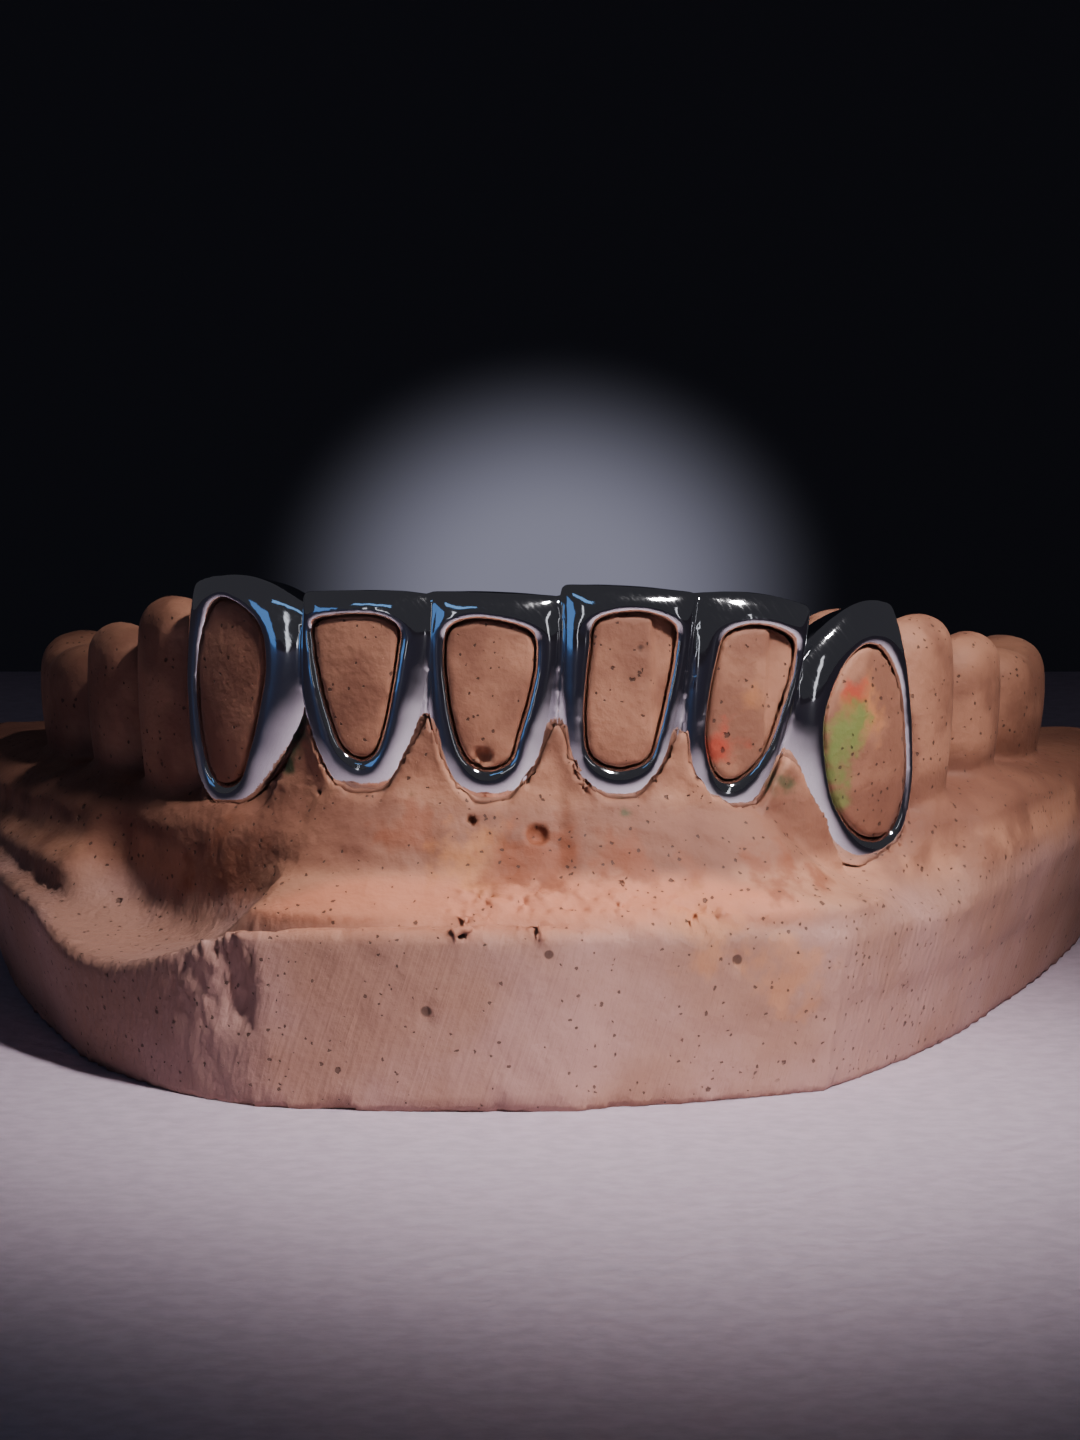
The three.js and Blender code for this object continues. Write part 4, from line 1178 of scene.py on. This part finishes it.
def plaster_material():
    """Matt pink-beige dental plaster: mottled, pitted by bubbles with painted shade in the pits, trimmed in
    fine lines, with stains, painted shade on the gum band and painted light on the land.
    """
    material, tree = soft_material("plaster")
    shader = tree.nodes["Principled BSDF"]
    place = add_node(tree, "ShaderNodeTexCoord", {}).outputs["Object"]
    axes = add_node(tree, "ShaderNodeSeparateXYZ", {"Vector": place})
    high = ramp_mm(tree, axes.outputs["Z"], TRIM_TOP)
    colour = stains_and_bubble_shade(tree, place, tinted(tree, place, axes, high))
    pits = scattered_pits(tree, place)
    # painted shade: the pits are darkened in colour as well as dented by the bump
    colour = blend(tree, times(tree, pits, PIT_PAINTED_SHADE_STRENGTH), colour, PIT_PAINTED_SHADE_COLOUR)
    tree.links.new(colour, shader.inputs["Base Color"])
    shader.inputs["Roughness"].default_value = PLASTER_ROUGHNESS
    low = arithmetic(tree, "SUBTRACT", 1.0, high)
    lines = times(tree, streaks(tree, place, TRIM_LEAN, *TRIM_SCALES), low)
    lumps = noise(tree, place, LUMP_SCALE, 3.0)
    height = times(tree, noise(tree, place, GRAIN_SCALE, 4.0), GRAIN_DEPTH)
    height = arithmetic(tree, "ADD", height, times(tree, lines, TRIM_DEPTH))
    height = arithmetic(tree, "ADD", height, times(tree, lumps, LUMP_DEPTH))
    height = arithmetic(tree, "SUBTRACT", height, times(tree, pits, PIT_DEPTH))
    add_bump(tree, shader, height, PLASTER_BUMP, BUMP_DISTANCE)
    return material


silver = silver_material()
plaster = plaster_material()


# The grids that the two pieces are meshed on: steps, and the stretch of each axis in millimetres
GRILL_STEP = 0.16
GRILL_BAND = 1.0  # how near its surface a piece's field is worked out in full
GRILL_ROUNDS = 2
GRILL_STRETCHES = ((-17.4, 18.3), (-17.8, -3.4), (9.0, 24.2))
CAST_STEP = 0.23
CAST_COARSE_STEP = 0.52
CAST_BAND = 1.6
CAST_ROUNDS = 1
CAST_FINE_STRETCHES = ((-18, 18), (-19.6, -10), (8.4, 21.6))
CAST_STRETCHES = ((-33, 33), (FRONT - 1, FRONT + BASE_DEPTH + 1), (-1, 24))


def build_grill():
    xs, ys, zs = (np.arange(low, high, GRILL_STEP) for low, high in GRILL_STRETCHES)
    values = sample_field(grill_field, xs, ys, zs, GRILL_BAND)
    points, quads = surface_net(values, xs, ys, zs)
    points = settle(points, grill_field, GRILL_ROUNDS)
    piece = make_piece("grill_metal", points, quads, silver)
    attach(piece, "root")
    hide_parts("grillz")


def build_cast():
    stretches = zip(CAST_FINE_STRETCHES, CAST_STRETCHES)
    xs, ys, zs = (fine_grid(CAST_COARSE_STEP, CAST_STEP, *fine, *whole) for fine, whole in stretches)
    values = sample_field(cast_field, xs, ys, zs, CAST_BAND)
    points, quads = surface_net(values, xs, ys, zs)
    points = settle(points, cast_field, CAST_ROUNDS)
    piece = make_piece("plaster_cast", points, quads, plaster)
    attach(piece, "root")
    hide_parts("dental_cast")


build_grill()
build_cast()

# The camera, from measurements on the photograph
PHOTO_SIZE = (1080, 1440)
TARGET = (0, FRONT * MM, 17.8 * MM)
ELEVATION = math.radians(8)
DISTANCE = 0.25
FOCAL_PIXELS = 5625
SENSOR_HEIGHT = 24
NEAREST = 0.01


def add_camera():
    data = bpy.data.cameras.new("camera")
    data.sensor_fit = "VERTICAL"
    data.sensor_height = SENSOR_HEIGHT
    data.lens = FOCAL_PIXELS / PHOTO_SIZE[1] * data.sensor_height
    data.clip_start = NEAREST
    camera = bpy.data.objects.new("camera", data)
    camera.location = (
        TARGET[0],
        TARGET[1] - DISTANCE * math.cos(ELEVATION),
        TARGET[2] + DISTANCE * math.sin(ELEVATION),
    )
    camera.rotation_euler = (math.pi / 2 - ELEVATION, 0, 0)
    bpy.context.scene.collection.objects.link(camera)
    bpy.context.scene.camera = camera


add_camera()


FLOOR_SIZE = 1.6
FLOOR_PLACE = (0, -0.3, 0)
FLOOR_LIGHT = (0.5, 0.4, 0.485, 1)
FLOOR_DARK = (0.42, 0.335, 0.41, 1)
FLOOR_GRAIN_SCALE = 900.0
FLOOR_BUMP = 0.5
FLOOR_BUMP_DISTANCE = 0.3 * MM
FLOOR_ROUGHNESS = 0.6


def floor_material():
    material, tree = soft_material("pale_table")
    shader = tree.nodes["Principled BSDF"]
    place = add_node(tree, "ShaderNodeTexCoord", {}).outputs["Object"]
    grain = noise(tree, place, FLOOR_GRAIN_SCALE, 5.0)
    colour = blend(tree, ramp(tree, grain, 0.3, 0.7), FLOOR_DARK, FLOOR_LIGHT)
    tree.links.new(colour, shader.inputs["Base Color"])
    add_bump(tree, shader, grain, FLOOR_BUMP, FLOOR_BUMP_DISTANCE)
    shader.inputs["Roughness"].default_value = FLOOR_ROUGHNESS
    return material


def add_plane(name, size, location, tilt, material):
    bpy.ops.mesh.primitive_plane_add(size=size, location=location, rotation=(tilt, 0, 0))
    plane = bpy.context.object
    plane.name = name
    plane.data.materials.append(material)


add_plane("table", FLOOR_SIZE, FLOOR_PLACE, 0, floor_material())

# A warm key from the upper right, two blue panels on the left, and a narrow strip on each side
LIGHTS = (
    dict(name="key", at=(0.15, -0.19, 0.28), aim=(0.009, -0.022, 0.01), size=(0.06, 0.05),
         power=0.0215, colour=(1, 0.965, 0.96), spread=10),
    dict(name="blue_panel", at=(-0.22, -0.16, 0.05), aim=(0, -0.015, 0.015), size=(0.1, 0.12),
         power=0.02, colour=(0.12, 0.4, 1), spread=180),
    dict(name="blue_top", at=(-0.1, -0.2, 0.17), aim=(0, -0.015, 0.02), size=(0.1, 0.03),
         power=0.008, colour=(0.2, 0.5, 1), spread=180),
    dict(name="strip_left", at=(-0.13, -0.25, 0.07), aim=(0, -0.015, 0.015), size=(0.012, 0.14),
         power=0.006, colour=(0.9, 0.93, 1), spread=180),
    dict(name="strip_right", at=(0.17, -0.2, 0.06), aim=(0, -0.015, 0.015), size=(0.014, 0.14),
         power=0.007, colour=(0.95, 0.95, 1), spread=180),
)


def add_light(row):
    data = bpy.data.lights.new(row["name"], "AREA")
    data.shape = "RECTANGLE"
    data.size, data.size_y = row["size"]
    data.energy = row["power"]
    data.color = row["colour"]
    data.spread = math.radians(row["spread"])
    light = bpy.data.objects.new(row["name"], data)
    light.location = row["at"]
    x, y, z = np.array(row["aim"]) - np.array(row["at"])
    light.rotation_euler = (math.atan2(math.hypot(x, y), -z), 0, math.atan2(-x, y))
    bpy.context.scene.collection.objects.link(light)


for row in LIGHTS:
    add_light(row)

WORLD_COLOUR = (0.034, 0.034, 0.04, 1)
BACKDROP_SIZE = 0.12
BACKDROP_PLACE = (0, 0.13, 0)
BACKDROP_COLOUR = (0.02, 0.02, 0.026, 1)
BACKDROP_ROUGHNESS = 0.9
# painted light: an emitting glow on the backdrop card, standing in for the light behind the cast
GLOW_SHIFT = (-0.03, -0.27, 0)
GLOW_SCALE = (45, 52, 1)
GLOW_EDGE = 0.85
GLOW_STRENGTHS = (0.004, 0.3)
GLOW_COLOUR = (0.72, 0.72, 0.95, 1)


def add_world():
    world = bpy.data.worlds.new("studio")
    world.use_nodes = True
    background = world.node_tree.nodes["Background"]
    background.inputs["Color"].default_value = WORLD_COLOUR
    background.inputs["Strength"].default_value = 1
    bpy.context.scene.world = world


def backdrop_material():
    """A dark card with a painted glow low in its middle: emission standing in for the light behind the
    cast.
    """
    material, tree = soft_material("dark_backdrop")
    shader = tree.nodes["Principled BSDF"]
    shader.inputs["Base Color"].default_value = BACKDROP_COLOUR
    shader.inputs["Roughness"].default_value = BACKDROP_ROUGHNESS
    place = add_node(tree, "ShaderNodeTexCoord", {}).outputs["Object"]
    inputs = {"Vector": place, "Location": GLOW_SHIFT, "Scale": GLOW_SCALE}
    stretched = add_node(tree, "ShaderNodeMapping", inputs).outputs["Vector"]
    ball = add_node(tree, "ShaderNodeTexGradient", {"Vector": stretched}, gradient_type="SPHERICAL")
    dark, bright = GLOW_STRENGTHS
    inputs = {"Value": ball.outputs["Fac"], "From Max": GLOW_EDGE, "To Min": dark, "To Max": bright}
    glow = add_node(tree, "ShaderNodeMapRange", inputs, interpolation_type="SMOOTHERSTEP")
    tree.links.new(glow.outputs["Result"], shader.inputs["Emission Strength"])
    shader.inputs["Emission Color"].default_value = GLOW_COLOUR
    return material


add_world()
add_plane("backdrop", BACKDROP_SIZE, BACKDROP_PLACE, math.pi / 2, backdrop_material())
